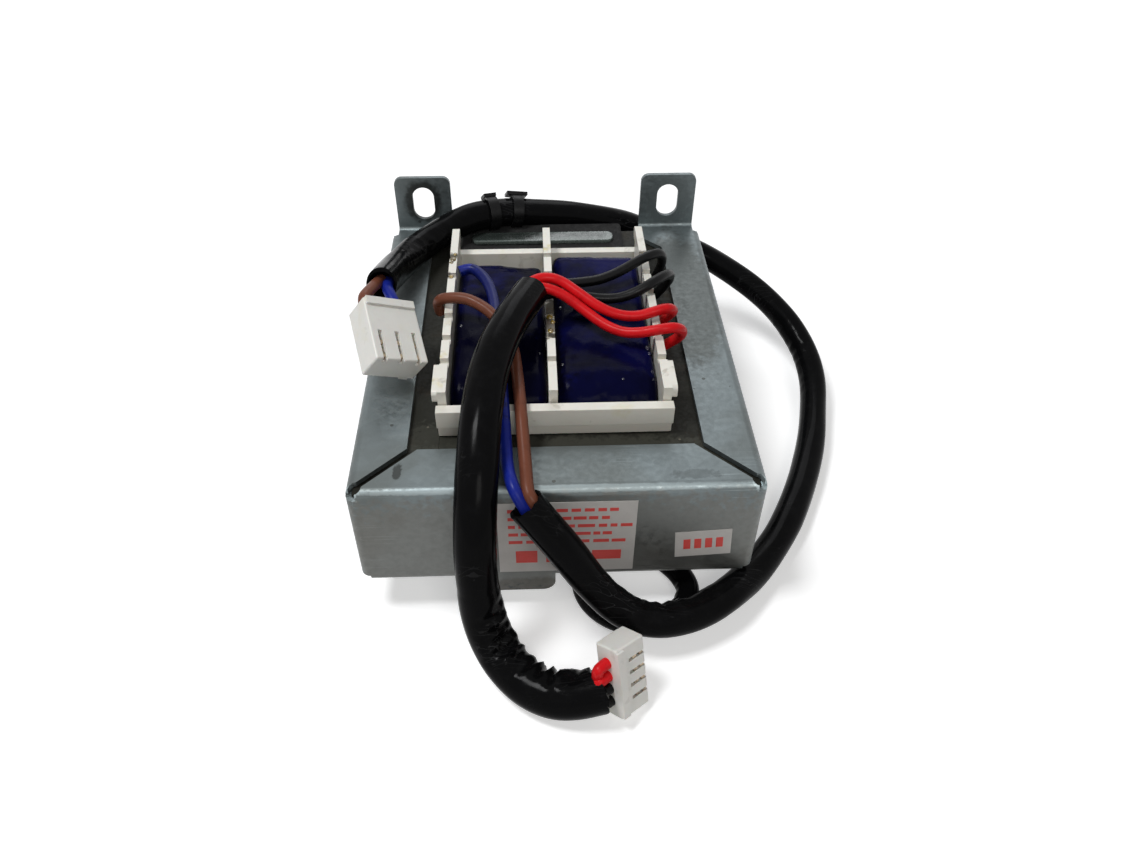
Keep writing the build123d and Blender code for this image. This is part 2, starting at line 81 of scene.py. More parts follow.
LEADS = {
    "brown_lead": [
        (-22.6, 1.9, 37.2), (-23.0, 1.1, 39.4), (-22.2, 0.0, 41.7), (-19.6, -0.9, 42.6),
        (-16.9, -1.7, 42.9), (-14.3, -3.2, 42.5), (-11.6, -5.6, 41.9), (-8.8, -9.6, 40.5),
        (-7.4, -14.6, 39.4), (-6.9, -20.4, 39.0), (-6.5, -26.0, 38.95), (-6.2, -30.8, 38.5),
        (-5.9, -35.4, 36.8), (-5.5, -41.2, 34.9), (-5.3, -45.8, 34.0), (-4.6, -47.2, 33.2),
        (-3.0, -48.3, 31.0),
    ],
    "blue_lead": [
        (-19.1, 13.4, 39.3), (-17.0, 14.2, 39.8), (-14.8, 12.6, 39.5), (-12.8, 8.8, 39.2),
        (-11.6, 3.2, 39.05), (-11.0, -3.4, 38.95), (-10.8, -10.4, 38.95), (-10.3, -17.6, 38.95),
        (-9.7, -24.6, 39.0), (-9.3, -30.6, 38.5), (-9.0, -36.0, 36.3), (-8.7, -41.0, 34.7),
        (-7.8, -45.2, 34.6), (-6.9, -46.9, 33.4), (-4.7, -48.6, 29.9),
    ],
    "red_lead_1": [
        (22.9, 2.2, 33.2), (24.2, -0.6, 37.2), (24.5, -3.8, 40.6), (22.9, -5.4, 42.4),
        (20.2, -6.1, 42.1), (17.0, -6.6, 41.3), (13.2, -6.6, 41.6), (9.2, -5.2, 42.7), (5.4, -2.2, 44.1),
        (1.8, 0.6, 45.4), (-1.6, 0.9, 46.0), (-4.6, -0.7, 45.5), (-5.0, -2.0, 45.6), (-6.1, -4.8, 45.8),
    ],
    "red_lead_2": [
        (22.9, -5.6, 33.2), (24.4, -6.6, 35.2), (25.6, -8.6, 38.0), (25.2, -10.6, 41.0),
        (23.0, -11.9, 42.5), (20.2, -12.2, 42.2), (16.9, -11.8, 41.2), (13.4, -10.8, 40.6),
        (10.0, -8.6, 41.0), (7.0, -6.0, 42.0), (4.0, -3.6, 43.3), (0.8, -1.9, 44.6), (-2.5, -1.5, 45.3),
        (-3.1, -2.7, 45.4), (-4.1, -5.5, 45.6),
    ],
    "black_lead_1": [
        (22.9, 17.3, 33.2), (24.0, 17.4, 35.6), (24.7, 17.0, 38.6), (24.2, 15.8, 41.6),
        (21.8, 13.9, 42.6), (18.6, 12.0, 42.1), (14.8, 9.8, 41.0), (10.2, 7.6, 40.4), (5.6, 5.9, 41.0),
        (1.6, 4.0, 42.0), (-1.9, 1.6, 42.7), (-4.7, -1.0, 42.9), (-5.0, -2.0, 43.1), (-6.1, -4.8, 43.4),
    ],
    "black_lead_2": [
        (22.9, 12.2, 33.2), (25.4, 11.4, 37.0), (25.5, 9.6, 40.4), (23.9, 6.6, 42.2), (21.2, 3.8, 42.5),
        (18.2, 2.2, 41.4), (14.8, 1.6, 40.2), (11.2, 1.5, 39.9), (7.6, 1.6, 40.4), (4.0, 1.4, 41.4),
        (0.4, 0.4, 42.5), (-2.6, -1.8, 42.9), (-3.1, -2.8, 43.0), (-4.1, -5.5, 43.4),
    ],
}

# Fixed tones of dirt, wear and light
RUST = (0.050, 0.036, 0.022, 1.0)
GRIT = (0.20, 0.18, 0.14, 1.0)
GRIME = (0.16, 0.13, 0.07, 1.0)
SOIL = (0.045, 0.032, 0.012, 1.0)
SETTLED_DUST = (0.030, 0.030, 0.032, 1.0)
RUBBED_BLACK = (0.05, 0.05, 0.052, 1.0)
# A warm zinc tone, darker than the sheet, also used as painted shade on the front wall
WARM_SHADE_ZINC = (0.128, 0.118, 0.102, 1.0)
WHITE = (1.0, 1.0, 1.0, 1.0)


def length(name, description, default):
    """A length in metres for the sidebar."""
    return FloatProperty(
        name=name, description=description, default=default, min=0.0, unit="LENGTH", precision=5)


def colour(name, description, default):
    """A colour for the sidebar."""
    return FloatVectorProperty(
        name=name, description=description, default=default, size=3, min=0.0, max=1.0, subtype="COLOR")


def angle(name, description, degrees):
    """An angle for the sidebar."""
    return FloatProperty(name=name, description=description, default=math.radians(degrees), subtype="ANGLE")


class TransformerSizes(bpy.types.PropertyGroup):
    """Sizes of the pieces that are built in detail"""

    primary_lead: length("Primary lead", "Diameter of the brown and blue leads", 0.0023)
    secondary_lead: length("Secondary lead", "Diameter of the red and black leads", 0.0021)
    primary_sleeve: length("Primary sleeve", "Diameter of the sleeve over the brown and blue leads", 0.0063)
    secondary_sleeve: length(
        "Secondary sleeve", "Diameter of the sleeve over the red and black leads", 0.0072)
    loop: length("Underside loop", "Diameter of the sleeved loop under the front wall", 0.0045)
    lamination: length("Lamination", "Pitch of the core laminations", 0.0005)
    tape_wrinkle: length("Tape wrinkle", "Height of the wrinkles in the winding tape", 0.00016)
    moulding_edge: length("Moulding edge", "Rounding of moulded plastic edges", 0.00022)
    sheet_edge: length("Sheet edge", "Rounding of cut sheet edges", 0.00014)
    liner_drop: length("Liner drop", "How far the rear liner's top sits below the front one's", 0.0024)
    label_thickness: length("Label thickness", "Thickness of the paper labels", 0.00008)
    seed: IntProperty(name="Seed", description="Start of the random variation", default=14, min=0)


class TransformerColours(bpy.types.PropertyGroup):
    """Colours of the materials"""

    zinc: colour("Zinc", "Galvanised sheet", (0.130, 0.153, 0.158))
    # Also the colour of the painted shade on the right flange
    zinc_dark: colour("Dull zinc", "Dull patches of the sheet", (0.094, 0.105, 0.101))
    core: colour("Core", "Varnished laminations", (0.018, 0.018, 0.0145))
    plastic: colour("Bobbin", "Moulded white plastic", (0.74, 0.72, 0.65))
    stain: colour("Stain", "Yellow varnish stains", (0.56, 0.47, 0.09))
    tape: colour("Tape", "Blue winding tape", (0.003, 0.0035, 0.036))
    tape_dark: colour("Dark tape", "Varnish-soaked winding tape", (0.002, 0.002, 0.009))
    brown: colour("Brown", "Brown insulation", (0.150, 0.050, 0.028))
    blue: colour("Blue", "Blue insulation", (0.008, 0.018, 0.22))
    red: colour("Red", "Red insulation", (0.62, 0.008, 0.012))
    black: colour("Black", "Black insulation and sleeving", (0.003, 0.003, 0.0033))
    nylon: colour("Nylon", "Connector housings", (0.75, 0.74, 0.70))
    tin: colour("Tin", "Plated contacts", (0.45, 0.37, 0.27))
    paper: colour("Paper", "Label paper", (0.50, 0.48, 0.46))
    ink: colour("Ink", "Red label ruling", (0.62, 0.06, 0.05))
    varnish: colour("Varnish", "Drops of hardened varnish", (0.30, 0.20, 0.03))
    strip: colour("Strip", "Packing strip", (0.085, 0.105, 0.096))
    # Black of the pad that stands in for the shade between the rear of the sleeve and the core
    pad: colour("Pad", "Soft pad on the core", (0.012, 0.012, 0.012))


class TransformerStage(bpy.types.PropertyGroup):
    """Camera and light"""

    lens: FloatProperty(name="Lens", description="Focal length in millimetres", default=29.24, min=1.0)
    yaw: angle("Yaw", "Heading of the camera", 2.25)
    pitch: angle("Pitch", "Downward tilt of the camera", 42.56)
    roll: angle("Roll", "Roll of the camera", 0.31)
    place: FloatVectorProperty(
        name="Place", description="Position of the camera", default=(-0.0038, -0.1518, 0.1474), unit="LENGTH")
    floor: colour("Floor", "Pale floor", (0.86, 0.86, 0.86))
    key: FloatProperty(name="Key", description="Power of the main light in watts", default=2.4, min=0.0)
    fill: FloatProperty(name="Fill", description="Power of the fill light in watts", default=0.95, min=0.0)
    room: FloatProperty(name="Room", description="Strength of the light all round", default=0.12, min=0.0)


def sizes():
    """Sizes set in the sidebar."""
    return bpy.context.scene.transformer_sizes


def colours():
    """Colours set in the sidebar."""
    return bpy.context.scene.transformer_colours


def rgba(value, share=1.0):
    """A colour with full opacity, made lighter or darker by a share."""
    return (value[0] * share, value[1] * share, value[2] * share, 1.0)


class Graph:
    """Adds nodes to one shader tree and links them as they are named."""

    def __init__(self, tree):
        self.tree = tree

    def add(self, kind, inputs=None, **settings):
        """Add a node, set it up, and fill or link its inputs."""
        node = self.tree.nodes.new(kind)
        for name, value in settings.items():
            setattr(node, name, value)
        for key, value in (inputs or {}).items():
            self.feed(node, key, value)
        return node

    def feed(self, node, key, value):
        """Link a socket to an input, or set the input's own value."""
        if isinstance(value, bpy.types.NodeSocket):
            self.tree.links.new(value, node.inputs[key])
        else:
            node.inputs[key].default_value = value

    def group(self, name, inputs):
        """Add one of the shared node groups."""
        return self.add("ShaderNodeGroup", inputs, node_tree=bpy.data.node_groups[name])

    def effect(self, name, **inputs):
        """Add one of the shared node groups and take its first output."""
        return self.group(name, inputs).outputs[0]

    def mix(self, factor, first, second):
        """Blend two colours."""
        return self.add("ShaderNodeMix", {0: factor, 6: first, 7: second}, data_type="RGBA").outputs[2]

    def math(self, operation, first, second):
        """Work out one value from two."""
        return self.add("ShaderNodeMath", {0: first, 1: second}, operation=operation).outputs[0]

    def spread(self, value, low, high, to_low=0.0, to_high=1.0):
        """Stretch a value from one range to another with soft ends."""
        return self.add(
            "ShaderNodeMapRange",
            {"Value": value, "From Min": low, "From Max": high, "To Min": to_low, "To Max": to_high},
            interpolation_type="SMOOTHSTEP").outputs["Result"]

    def cloud(self, place, scale, detail, roughness=0.5, distortion=0.0):
        """Soft noise that wanders about one half."""
        return self.add("ShaderNodeTexNoise", {
            "Vector": place, "Scale": scale, "Detail": detail, "Roughness": roughness,
            "Distortion": distortion}).outputs["Fac"]

    def cells(self, place, scale):
        """Random cells: the distance from their middles, and three values that differ from cell to cell."""
        cell = self.add("ShaderNodeTexVoronoi", {"Vector": place, "Scale": scale, "Randomness": 1.0}).outputs
        return cell["Distance"], self.add("ShaderNodeSeparateColor", {"Color": cell["Color"]}).outputs

    def seen_directly(self):
        """One for rays from the camera, off a mirror or through glass, and zero for rays that only light."""
        rays = self.add("ShaderNodeLightPath").outputs
        mirrored = self.math("MAXIMUM", rays["Is Glossy Ray"], rays["Is Transmission Ray"])
        return self.math("MAXIMUM", rays["Is Camera Ray"], mirrored)


class Surface(Graph):
    """A material under way: one Principled shader whose plain values are set on its own sockets."""

    def __init__(self, name, constants):
        self.material = bpy.data.materials.new(name)
        self.material.use_nodes = True
        self.material.node_tree.nodes.clear()
        super().__init__(self.material.node_tree)
        self.shader = self.add("ShaderNodeBsdfPrincipled", constants)
        self.add("ShaderNodeOutputMaterial", {"Surface": self.shader.outputs["BSDF"]})

    def layer(self, base, tint, effect, share=1.0, **inputs):
        """Lay a tint over a base colour where a shared effect shows, by a share of its strength."""
        mask = self.effect(effect, **inputs)
        if share < 1.0:
            mask = self.math("MULTIPLY", mask, share)
        return self.mix(mask, base, tint)

    def spots(self, base, tint, places):
        """Lay ragged spots of one colour over a base colour.

        Each place is a centre and radii in millimetres, a raggedness and an amount.
        """
        for centre, radii, ragged, amount in places:
            mask = self.effect(
                "Spot", Centre=[value * MM for value in centre], Radii=[value * MM for value in radii],
                Ragged=ragged, Amount=amount)
            base = self.mix(mask, base, tint)
        return base

    def complete(self, tone, scale, roughness, strength, distance, scratch=None):
        """Give the shader its colour and a fine grain, and hand over the material.

        The grain has a lowest and a highest roughness, and a bump that scratches are cut into.
        """
        scratch_depth = -1.5
        self.feed(self.shader, "Base Color", tone)
        grain = self.group("Fine Grain", {"Scale": scale, "Low": roughness[0], "High": roughness[1]}).outputs
        self.feed(self.shader, "Roughness", grain["Value"])
        height = grain["Height"]
        if scratch:
            height = self.math("ADD", height, self.math("MULTIPLY", scratch, scratch_depth))
        bump = self.add("ShaderNodeBump", {"Height": height, "Strength": strength, "Distance": distance})
        self.feed(self.shader, "Normal", bump.outputs["Normal"])
        return self.material


def new_group(name, inputs, outputs):
    """An empty shared node group with its sockets, and the place on the surface that it works from."""
    tree = bpy.data.node_groups.new(name, "ShaderNodeTree")
    for label, default in inputs.items():
        kind = FLOAT if isinstance(default, float) else VECTOR
        tree.interface.new_socket(label, in_out="INPUT", socket_type=kind).default_value = default
    for label in outputs:
        tree.interface.new_socket(label, in_out="OUTPUT", socket_type=FLOAT)
    graph = Graph(tree)
    start, end = graph.add("NodeGroupInput").outputs, graph.add("NodeGroupOutput")
    return graph, start, end, graph.add("ShaderNodeTexCoord").outputs["Object"]


def make_groups():
    """Shared effects: grain, blotches, scratches, spangle, specks, dust and single spots."""
    graph, start, end, place = new_group(
        "Fine Grain", {"Scale": 400.0, "Low": 0.0, "High": 1.0}, ["Value", "Height"])
    grain = graph.cloud(place, start["Scale"], 5.0, 0.6)
    graph.feed(end, "Value", graph.spread(grain, 0.3, 0.7, start["Low"], start["High"]))
    graph.feed(end, "Height", grain)

    graph, start, end, place = new_group("Blotches", {"Scale": 60.0, "Start": 0.5, "Full": 0.65}, ["Mask"])
    cloud = graph.cloud(place, start["Scale"], 4.0, 0.55, 0.4)
    graph.feed(end, "Mask", graph.spread(cloud, start["Start"], start["Full"]))

    graph, start, end, place = new_group("Scratches", {"Width": 0.01, "Amount": 0.5}, ["Mask"])
    lines = []
    for turn, stretch in ((0.1, (8.0, 900.0, 260.0)), (0.25, (6.0, 800.0, 420.0))):
        turned = graph.add(
            "ShaderNodeMapping", {"Vector": place, "Rotation": (turn, turn, turn), "Scale": stretch})
        field = graph.cloud(turned.outputs["Vector"], 1.0, 1.0)
        off_centre = graph.math("ABSOLUTE", graph.math("SUBTRACT", field, 0.5), 0.0)
        lines.append(graph.math("LESS_THAN", off_centre, start["Width"]))
    kept = graph.spread(graph.cloud(place, 70.0, 2.0), 0.52, 0.66, 0.0, start["Amount"])
    graph.feed(end, "Mask", graph.math("MULTIPLY", graph.math("MAXIMUM", *lines), kept))

    graph, start, end, place = new_group("Spangle", {"Scale": 220.0}, ["Value"])
    _, values = graph.cells(place, start["Scale"])
    graph.feed(end, "Value", values["Red"])

    graph, start, end, place = new_group("Specks", {"Scale": 500.0, "Size": 0.18, "Share": 0.5}, ["Mask"])
    distance, values = graph.cells(place, start["Scale"])
    near = graph.math("LESS_THAN", distance, start["Size"])
    chosen = graph.math("LESS_THAN", values["Green"], start["Share"])
    graph.feed(end, "Mask", graph.math("MULTIPLY", near, chosen))

    graph, start, end, place = new_group("Dust", {"Scale": 250.0, "Amount": 0.5}, ["Mask"])
    normal = graph.add("ShaderNodeNewGeometry").outputs["Normal"]
    facing = graph.add("ShaderNodeSeparateXYZ", {"Vector": normal})
    upward = graph.spread(facing.outputs["Z"], 0.2, 1.0)
    cloud = graph.cloud(place, start["Scale"], 6.0, 0.7)
    settled = graph.spread(cloud, 0.45, 0.75, 0.0, start["Amount"])
    graph.feed(end, "Mask", graph.math("MULTIPLY", upward, settled))

    graph, start, end, place = new_group(
        "Spot", {"Centre": (0.0, 0.0, 0.0), "Radii": (0.001, 0.001, 0.001), "Ragged": 0.5, "Amount": 1.0},
        ["Mask"])
    offset = graph.add("ShaderNodeVectorMath", {0: place, 1: start["Centre"]}, operation="SUBTRACT")
    scaled = graph.add("ShaderNodeVectorMath", {0: offset.outputs[0], 1: start["Radii"]}, operation="DIVIDE")
    reach = graph.add("ShaderNodeVectorMath", {0: scaled.outputs[0]}, operation="LENGTH").outputs["Value"]
    cloud = graph.cloud(place, 700.0, 4.0, 0.6)
    torn = graph.math("MULTIPLY", graph.math("SUBTRACT", cloud, 0.5), start["Ragged"])
    edge = graph.math("ADD", reach, graph.math("MULTIPLY", torn, 3.0))
    inside = graph.math("SUBTRACT", 1.0, graph.spread(edge, 0.75, 1.1))
    graph.feed(end, "Mask", graph.math("MULTIPLY", inside, start["Amount"]))


def zinc_material():
    """Galvanised sheet: faint spangle, dull patches, dirt specks and bright scratches, with painted shade, a
    painted sheen and a painted highlight.
    """
    palette = colours()
    surface = Surface("galvanised_steel", {"Metallic": 0.75, "IOR": 1.6})
    spangle = surface.spread(surface.effect("Spangle", Scale=260.0), 0.0, 1.0, 0.0, 0.35)
    tone = surface.mix(spangle, rgba(palette.zinc), rgba(palette.zinc, 1.35))
    tone = surface.layer(tone, rgba(palette.zinc_dark), "Blotches", 0.75, Scale=45.0, Start=0.46, Full=0.72)
    tone = surface.layer(tone, rgba(palette.core, 2.0), "Specks", 0.7, Scale=330.0, Size=0.12, Share=0.22)
    scratch = surface.effect("Scratches", Width=0.005, Amount=0.45)
    tone = surface.mix(scratch, tone, rgba(palette.zinc, 2.2))
    smudges_and_shade = (
        ((-29.1, 43.6, 39.6), (4.7, 3.0, 5.9), 0.15, 0.80),
        ((-28.2, -39.0, 32.2), (0.9, 2.0, 1.0), 0.5, 0.75),
        ((-30.5, 20.0, 32.2), (3.0, 9.0, 1.0), 0.6, 0.25),
        ((24.0, -41.0, 32.2), (5.0, 1.2, 1.0), 0.6, 0.30),
        # Painted shade: the dark spot over the tongue under the front wall.
        ((-3.0, -43.6, 5.0), (16.0, 3.0, 3.4), 0.2, 0.75),
        # Painted shade and reflection: the darker lower right of the front wall, behind the sleeve.
        ((20.0, -44.1, 11.0), (22.0, 1.0, 4.5), 0.5, 0.22),
        ((29.0, 43.6, 39.0), (6.5, 3.0, 8.0), 0.5, 0.22))
    # A warmer tone on the front wall and along the left flange; on the front wall it is also painted shade,
    # darker than the top.
    warm_and_shaded = (
        ((0.0, -44.2, 17.0), (70.0, 1.4, 15.0), 0.5, 0.55), ((-29.0, 6.0, 32.3), (7.0, 30.0, 1.0), 0.8, 0.15))
    # Painted shade: the right flange made darker, on the side away from the main light.
    right_flange_shade = (((29.5, 14.0, 32.3), (8.0, 27.0, 1.2), 0.25, 0.85),)
    worn_and_highlit = (
        # The faint patch along the left flange is a painted sheen; the spots at the two front corners are
        # bright torn metal.
        ((-29.0, 2.0, 32.3), (7.0, 28.0, 1.0), 0.6, 0.12), ((36.0, -42.9, 31.4), (1.7, 1.7, 1.3), 0.6, 0.9),
        # The long band along the front bend is a painted highlight.
        ((-36.0, -42.9, 31.4), (1.7, 1.7, 1.3), 0.6, 0.7), ((0.0, -43.5, 31.8), (42.0, 0.8, 0.8), 0.25, 0.35))
    for tint, places in (
            (rgba(palette.core, 0.5), smudges_and_shade), (WARM_SHADE_ZINC, warm_and_shaded),
            (rgba(palette.zinc_dark, 0.75), right_flange_shade), (rgba(palette.zinc, 2.6), worn_and_highlit)):
        tone = surface.spots(tone, tint, places)
    return surface.complete(tone, 900.0, (0.36, 0.54), 0.25, 0.00005, scratch)


def core_material():
    """Varnished laminations: near black, with rusty patches and painted light across the front of the top."""
    core = colours().core
    surface = Surface("core_steel", {"Specular IOR Level": 0.08})
    tone = surface.layer(rgba(core), RUST, "Blotches", 0.35, Scale=160.0, Start=0.52, Full=0.75)
    tone = surface.layer(tone, GRIT, "Specks", 0.6, Scale=420.0, Size=0.11, Share=0.05)
    # Painted light: lighter patches across the front of the core top and at its front left, where light falls
    # on it.
    tone = surface.spots(tone, rgba(core, 2.4), (
        ((4.0, -35.0, 31.0), (38.0, 6.0, 4.0), 0.4, 0.8), ((-22.0, -30.0, 31.0), (6.0, 5.0, 3.0), 0.8, 0.5)))
    return surface.complete(tone, 1400.0, (0.38, 0.62), 0.4, 0.00008)


def plastic_material(name, base, stain_share, grime_share, soiled=()):
    """Moulded plastic with yellowed varnish stains and grime, and soiled spots where they are given."""
    stain = rgba(colours().stain)
    surface = Surface(name, {"IOR": 1.5, "Subsurface Weight": 0.06, "Subsurface Scale": 0.001})
    tone = surface.layer(rgba(base), rgba(base, 0.86), "Fine Grain", Scale=180.0, Low=0.0, High=0.35)
    tone = surface.layer(tone, stain, "Blotches", stain_share, Scale=150.0, Start=0.58, Full=0.72)
    tone = surface.layer(tone, GRIME, "Blotches", grime_share, Scale=310.0, Start=0.60, Full=0.74)
    return surface.complete(surface.spots(tone, SOIL, soiled), 1500.0, (0.30, 0.48), 0.2, 0.00004)


def tape_material(name, gloss):
    """Blue tape soaked with varnish in patches, lighter at the rear top and darker over the front."""
    tape, dark = colours().tape, rgba(colours().tape_dark)
    surface = Surface(name, {"Specular IOR Level": gloss})
    # Lighter at the rear top of both windings.
    tone = surface.spots(rgba(tape), rgba(tape, 2.0), (
        ((10.0, 19.0, 36.5), (13.0, 7.0, 6.0), 0.5, 0.7), ((-12.0, 17.0, 36.0), (9.0, 6.0, 6.0), 0.5, 0.8)))
    tone = surface.layer(tone, dark, "Blotches", Scale=80.0, Start=0.36, Full=0.64)
    # Darker over the front of both windings, most of all the primary.
    tone = surface.spots(tone, dark, (
        ((-9.0, -16.0, 37.0), (13.0, 13.0, 8.0), 0.35, 0.85),
        ((11.0, -24.0, 36.0), (12.0, 6.0, 8.0), 0.35, 0.45)))
    return surface.complete(tone, 500.0, (0.08, 0.26), 0.5, 0.00012)


def insulation_material(name, base, soaked=()):
    """Smooth wire insulation, a little dirty, and dark where varnish has soaked it."""
    surface = Surface(name, {"Specular IOR Level": 0.13})
    tone = surface.layer(rgba(base), rgba(base, 0.6), "Blotches", 0.5, Scale=260.0, Start=0.50, Full=0.72)
    tone = surface.spots(tone, rgba(base, 0.22), soaked)
    return surface.complete(tone, 1200.0, (0.26, 0.42), 0.15, 0.00004)


def sleeve_material():
    """Glossy black sleeving with rubbed and dusty patches."""
    surface = Surface("sleeve_gloss", {"Specular IOR Level": 0.03})
    tone = surface.layer(rgba(colours().black), SETTLED_DUST, "Dust", Scale=420.0, Amount=0.10)
    tone = surface.layer(tone, RUBBED_BLACK, "Scratches", Width=0.008, Amount=0.35)
    return surface.complete(tone, 260.0, (0.10, 0.24), 0.25, 0.00015)


def tin_material():
    """Tarnished plated contacts."""
    tin = colours().tin
    surface = Surface("plated_contact", {"Metallic": 1.0})
    tone = surface.layer(rgba(tin), rgba(tin, 0.4), "Blotches", Scale=700.0, Start=0.45, Full=0.65)
    return surface.complete(tone, 2000.0, (0.25, 0.45), 0.2, 0.00003)


def paper_material(name, base):
    """Matt printed paper with a faint tone."""
    surface = Surface(name, {"IOR": 1.45})
    tone = surface.layer(rgba(base), rgba(base, 0.82), "Fine Grain", Scale=350.0, Low=0.0, High=0.5)
    return surface.complete(tone, 1500.0, (0.45, 0.60), 0.1, 0.00003)


def strip_material():
    """Cloudy greenish strip with scuffs, darker over its left half, and with painted highlights on its edges.
    """
    strip = colours().strip
    surface = Surface("cloudy_strip", {"IOR": 1.5, "Transmission Weight": 0.25})
    tone = surface.layer(rgba(strip), rgba(strip, 1.5), "Blotches", Scale=220.0, Start=0.40, Full=0.70)
    tone = surface.layer(tone, rgba(strip, 2.4), "Scratches", Width=0.01, Amount=0.6)
    # Darker over the left half and along a line near the rear edge.
    tone = surface.spots(tone, rgba(strip, 0.25), (
        ((-15.0, 37.4, 33.1), (14.0, 6.0, 4.0), 0.3, 0.85), ((0.0, 37.9, 33.1), (30.0, 0.9, 2.0), 0.3, 0.55)))
    # Painted highlights: lighter lines along the front edge and at the right end.
    tone = surface.spots(tone, rgba(strip, 1.9), (
        ((0.0, 35.6, 33.1), (30.0, 0.5, 1.0), 0.25, 0.6), ((15.0, 37.4, 33.1), (1.4, 2.4, 1.0), 0.3, 0.6)))
    return surface.complete(tone, 800.0, (0.16, 0.34), 0.15, 0.00004)


def shade_pad_material():
    """Dull black that stands in for the shade under the rear of the sleeve, with a little dust."""
    pad = colours().pad
    surface = Surface("black_fibre", {"Specular IOR Level": 0.2})
    tone = surface.layer(rgba(pad), rgba(pad, 3.0), "Dust", Scale=600.0, Amount=0.5)
    return surface.complete(tone, 2200.0, (0.7, 0.95), 0.7, 0.0001)


def varnish_material():
    """Hardened amber varnish."""
    varnish = colours().varnish
    surface = Surface("varnish", {"IOR": 1.5, "Coat Weight": 0.6, "Coat Roughness": 0.05})
    tone = surface.layer(rgba(varnish), rgba(varnish, 0.3), "Blotches", Scale=600.0, Start=0.40, Full=0.65)
    return surface.complete(tone, 900.0, (0.10, 0.25), 0.2, 0.00005)


def placed(name, data):
    """An object of the scene that shows a mesh, a curve, a camera or a lamp."""
    piece = bpy.data.objects.new(name, data)
    bpy.context.scene.collection.objects.link(piece)
    return piece


def mesh_piece(name, points, faces, materials, smooth_angle=math.radians(40)):
    """A mesh object of the scene from points in metres."""
    mesh = bpy.data.meshes.new(name)
    mesh.from_pydata(points, [], faces)
    mesh.validate()
    for material in materials:
        mesh.materials.append(material)
    mesh.shade_smooth()
    mesh.set_sharp_from_angle(angle=smooth_angle)
    return placed(name, mesh)


def seat(piece, slot, *nodes):
    """Put a piece on the part's body, in place of the solids that it shows."""
    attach(piece, "root")
    if nodes:
        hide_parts(*nodes)
    return piece


def rounded_copy(node, name, edge, material, slot, cut=None, move=None):
    """A node's own shape with its sharp edges rounded.

    It can first be cut across at a depth and have its corners moved.
    """
    welded, flat, sharp_from, shown_sharp = 1e-6, math.radians(0.4), math.radians(28), math.radians(40)
    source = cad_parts[node].data.copy()
    if "custom_normal" in source.attributes:
        source.attributes.remove(source.attributes["custom_normal"])
    shape = bmesh.new()
    shape.from_mesh(source)
    bpy.data.meshes.remove(source)
    bmesh.ops.remove_doubles(shape, verts=shape.verts, dist=welded)
    bmesh.ops.dissolve_limit(shape, angle_limit=flat, verts=shape.verts, edges=shape.edges)
    if cut:
        whole = list(shape.verts) + list(shape.edges) + list(shape.faces)
        bmesh.ops.bisect_plane(shape, geom=whole, plane_co=(0.0, cut, 0.0), plane_no=(0.0, 1.0, 0.0))
    if move:
        for corner in shape.verts:
            corner.co += move(corner.co)
    sharp = [line for line in shape.edges if line.is_manifold and line.calc_face_angle() > sharp_from]
    bmesh.ops.bevel(
        shape, geom=sharp, offset=edge, segments=2, profile=0.5, affect="EDGES", clamp_overlap=True)
    bmesh.ops.recalc_face_normals(shape, faces=shape.faces)
    mesh = bpy.data.meshes.new(name)
    shape.to_mesh(mesh)
    shape.free()
    mesh.materials.clear()
    mesh.materials.append(material)
    for polygon in mesh.polygons:
        polygon.material_index = 0
    mesh.shade_smooth()
    mesh.set_sharp_from_angle(angle=shown_sharp)
    piece = placed(name, mesh)
    weighted = piece.modifiers.new("Weighted normals", "WEIGHTED_NORMAL")
    weighted.keep_sharp = True
    return seat(piece, slot, node)


def block(centre, size, turn=None):
    """Corner points and faces of a box, turned about its centre if a matrix is given."""
    half = Vector(size) / 2
    points = []
    for corner in range(8):
        signs = (1 if corner & 1 else -1, 1 if corner & 2 else -1, 1 if corner & 4 else -1)
        offset = Vector([sign * side for sign, side in zip(signs, half)])
        points.append(Vector(centre) + (turn @ offset if turn else offset))
    faces = [(0, 2, 3, 1), (4, 5, 7, 6), (0, 1, 5, 4), (2, 6, 7, 3), (0, 4, 6, 2), (1, 3, 7, 5)]
    return points, faces


def add_block(points, faces, centre, size, turn=None):
    """Add a box to lists of points and faces."""
    start = len(points)
    more_points, more_faces = block(centre, size, turn)
    points.extend(more_points)
    faces.extend([tuple(start + index for index in face) for face in more_faces])


def add_plate(points, faces, outline, floor, ceiling):
    """Add a flat plate between two heights to lists of points and faces."""
    start, number = len(points), len(outline)
    for height in (floor, ceiling):
        points.extend([(x, y, height) for x, y in outline])
    faces.append(tuple(reversed(range(start, start + number))))
    faces.append(tuple(range(start + number, start + 2 * number)))
    for index in range(number):
        nxt = (index + 1) % number
        faces.append((start + index, start + nxt, start + number + nxt, start + number + index))


def drops_piece(name, places, material, slot):
    """Hardened drops; each place is a centre and a radius in millimetres."""
    shape = bmesh.new()
    flattened = Matrix.Diagonal((1.0, 1.3, 0.5, 1.0))
    for x, y, z, radius in places:
        squashed = Matrix.Translation((x * MM, y * MM, z * MM)) @ flattened
        bmesh.ops.create_icosphere(shape, subdivisions=2, radius=radius * MM, matrix=squashed)
    mesh = bpy.data.meshes.new(name)
    shape.to_mesh(mesh)
    shape.free()
    mesh.materials.append(material)
    mesh.shade_smooth()
    return seat(placed(name, mesh), slot)


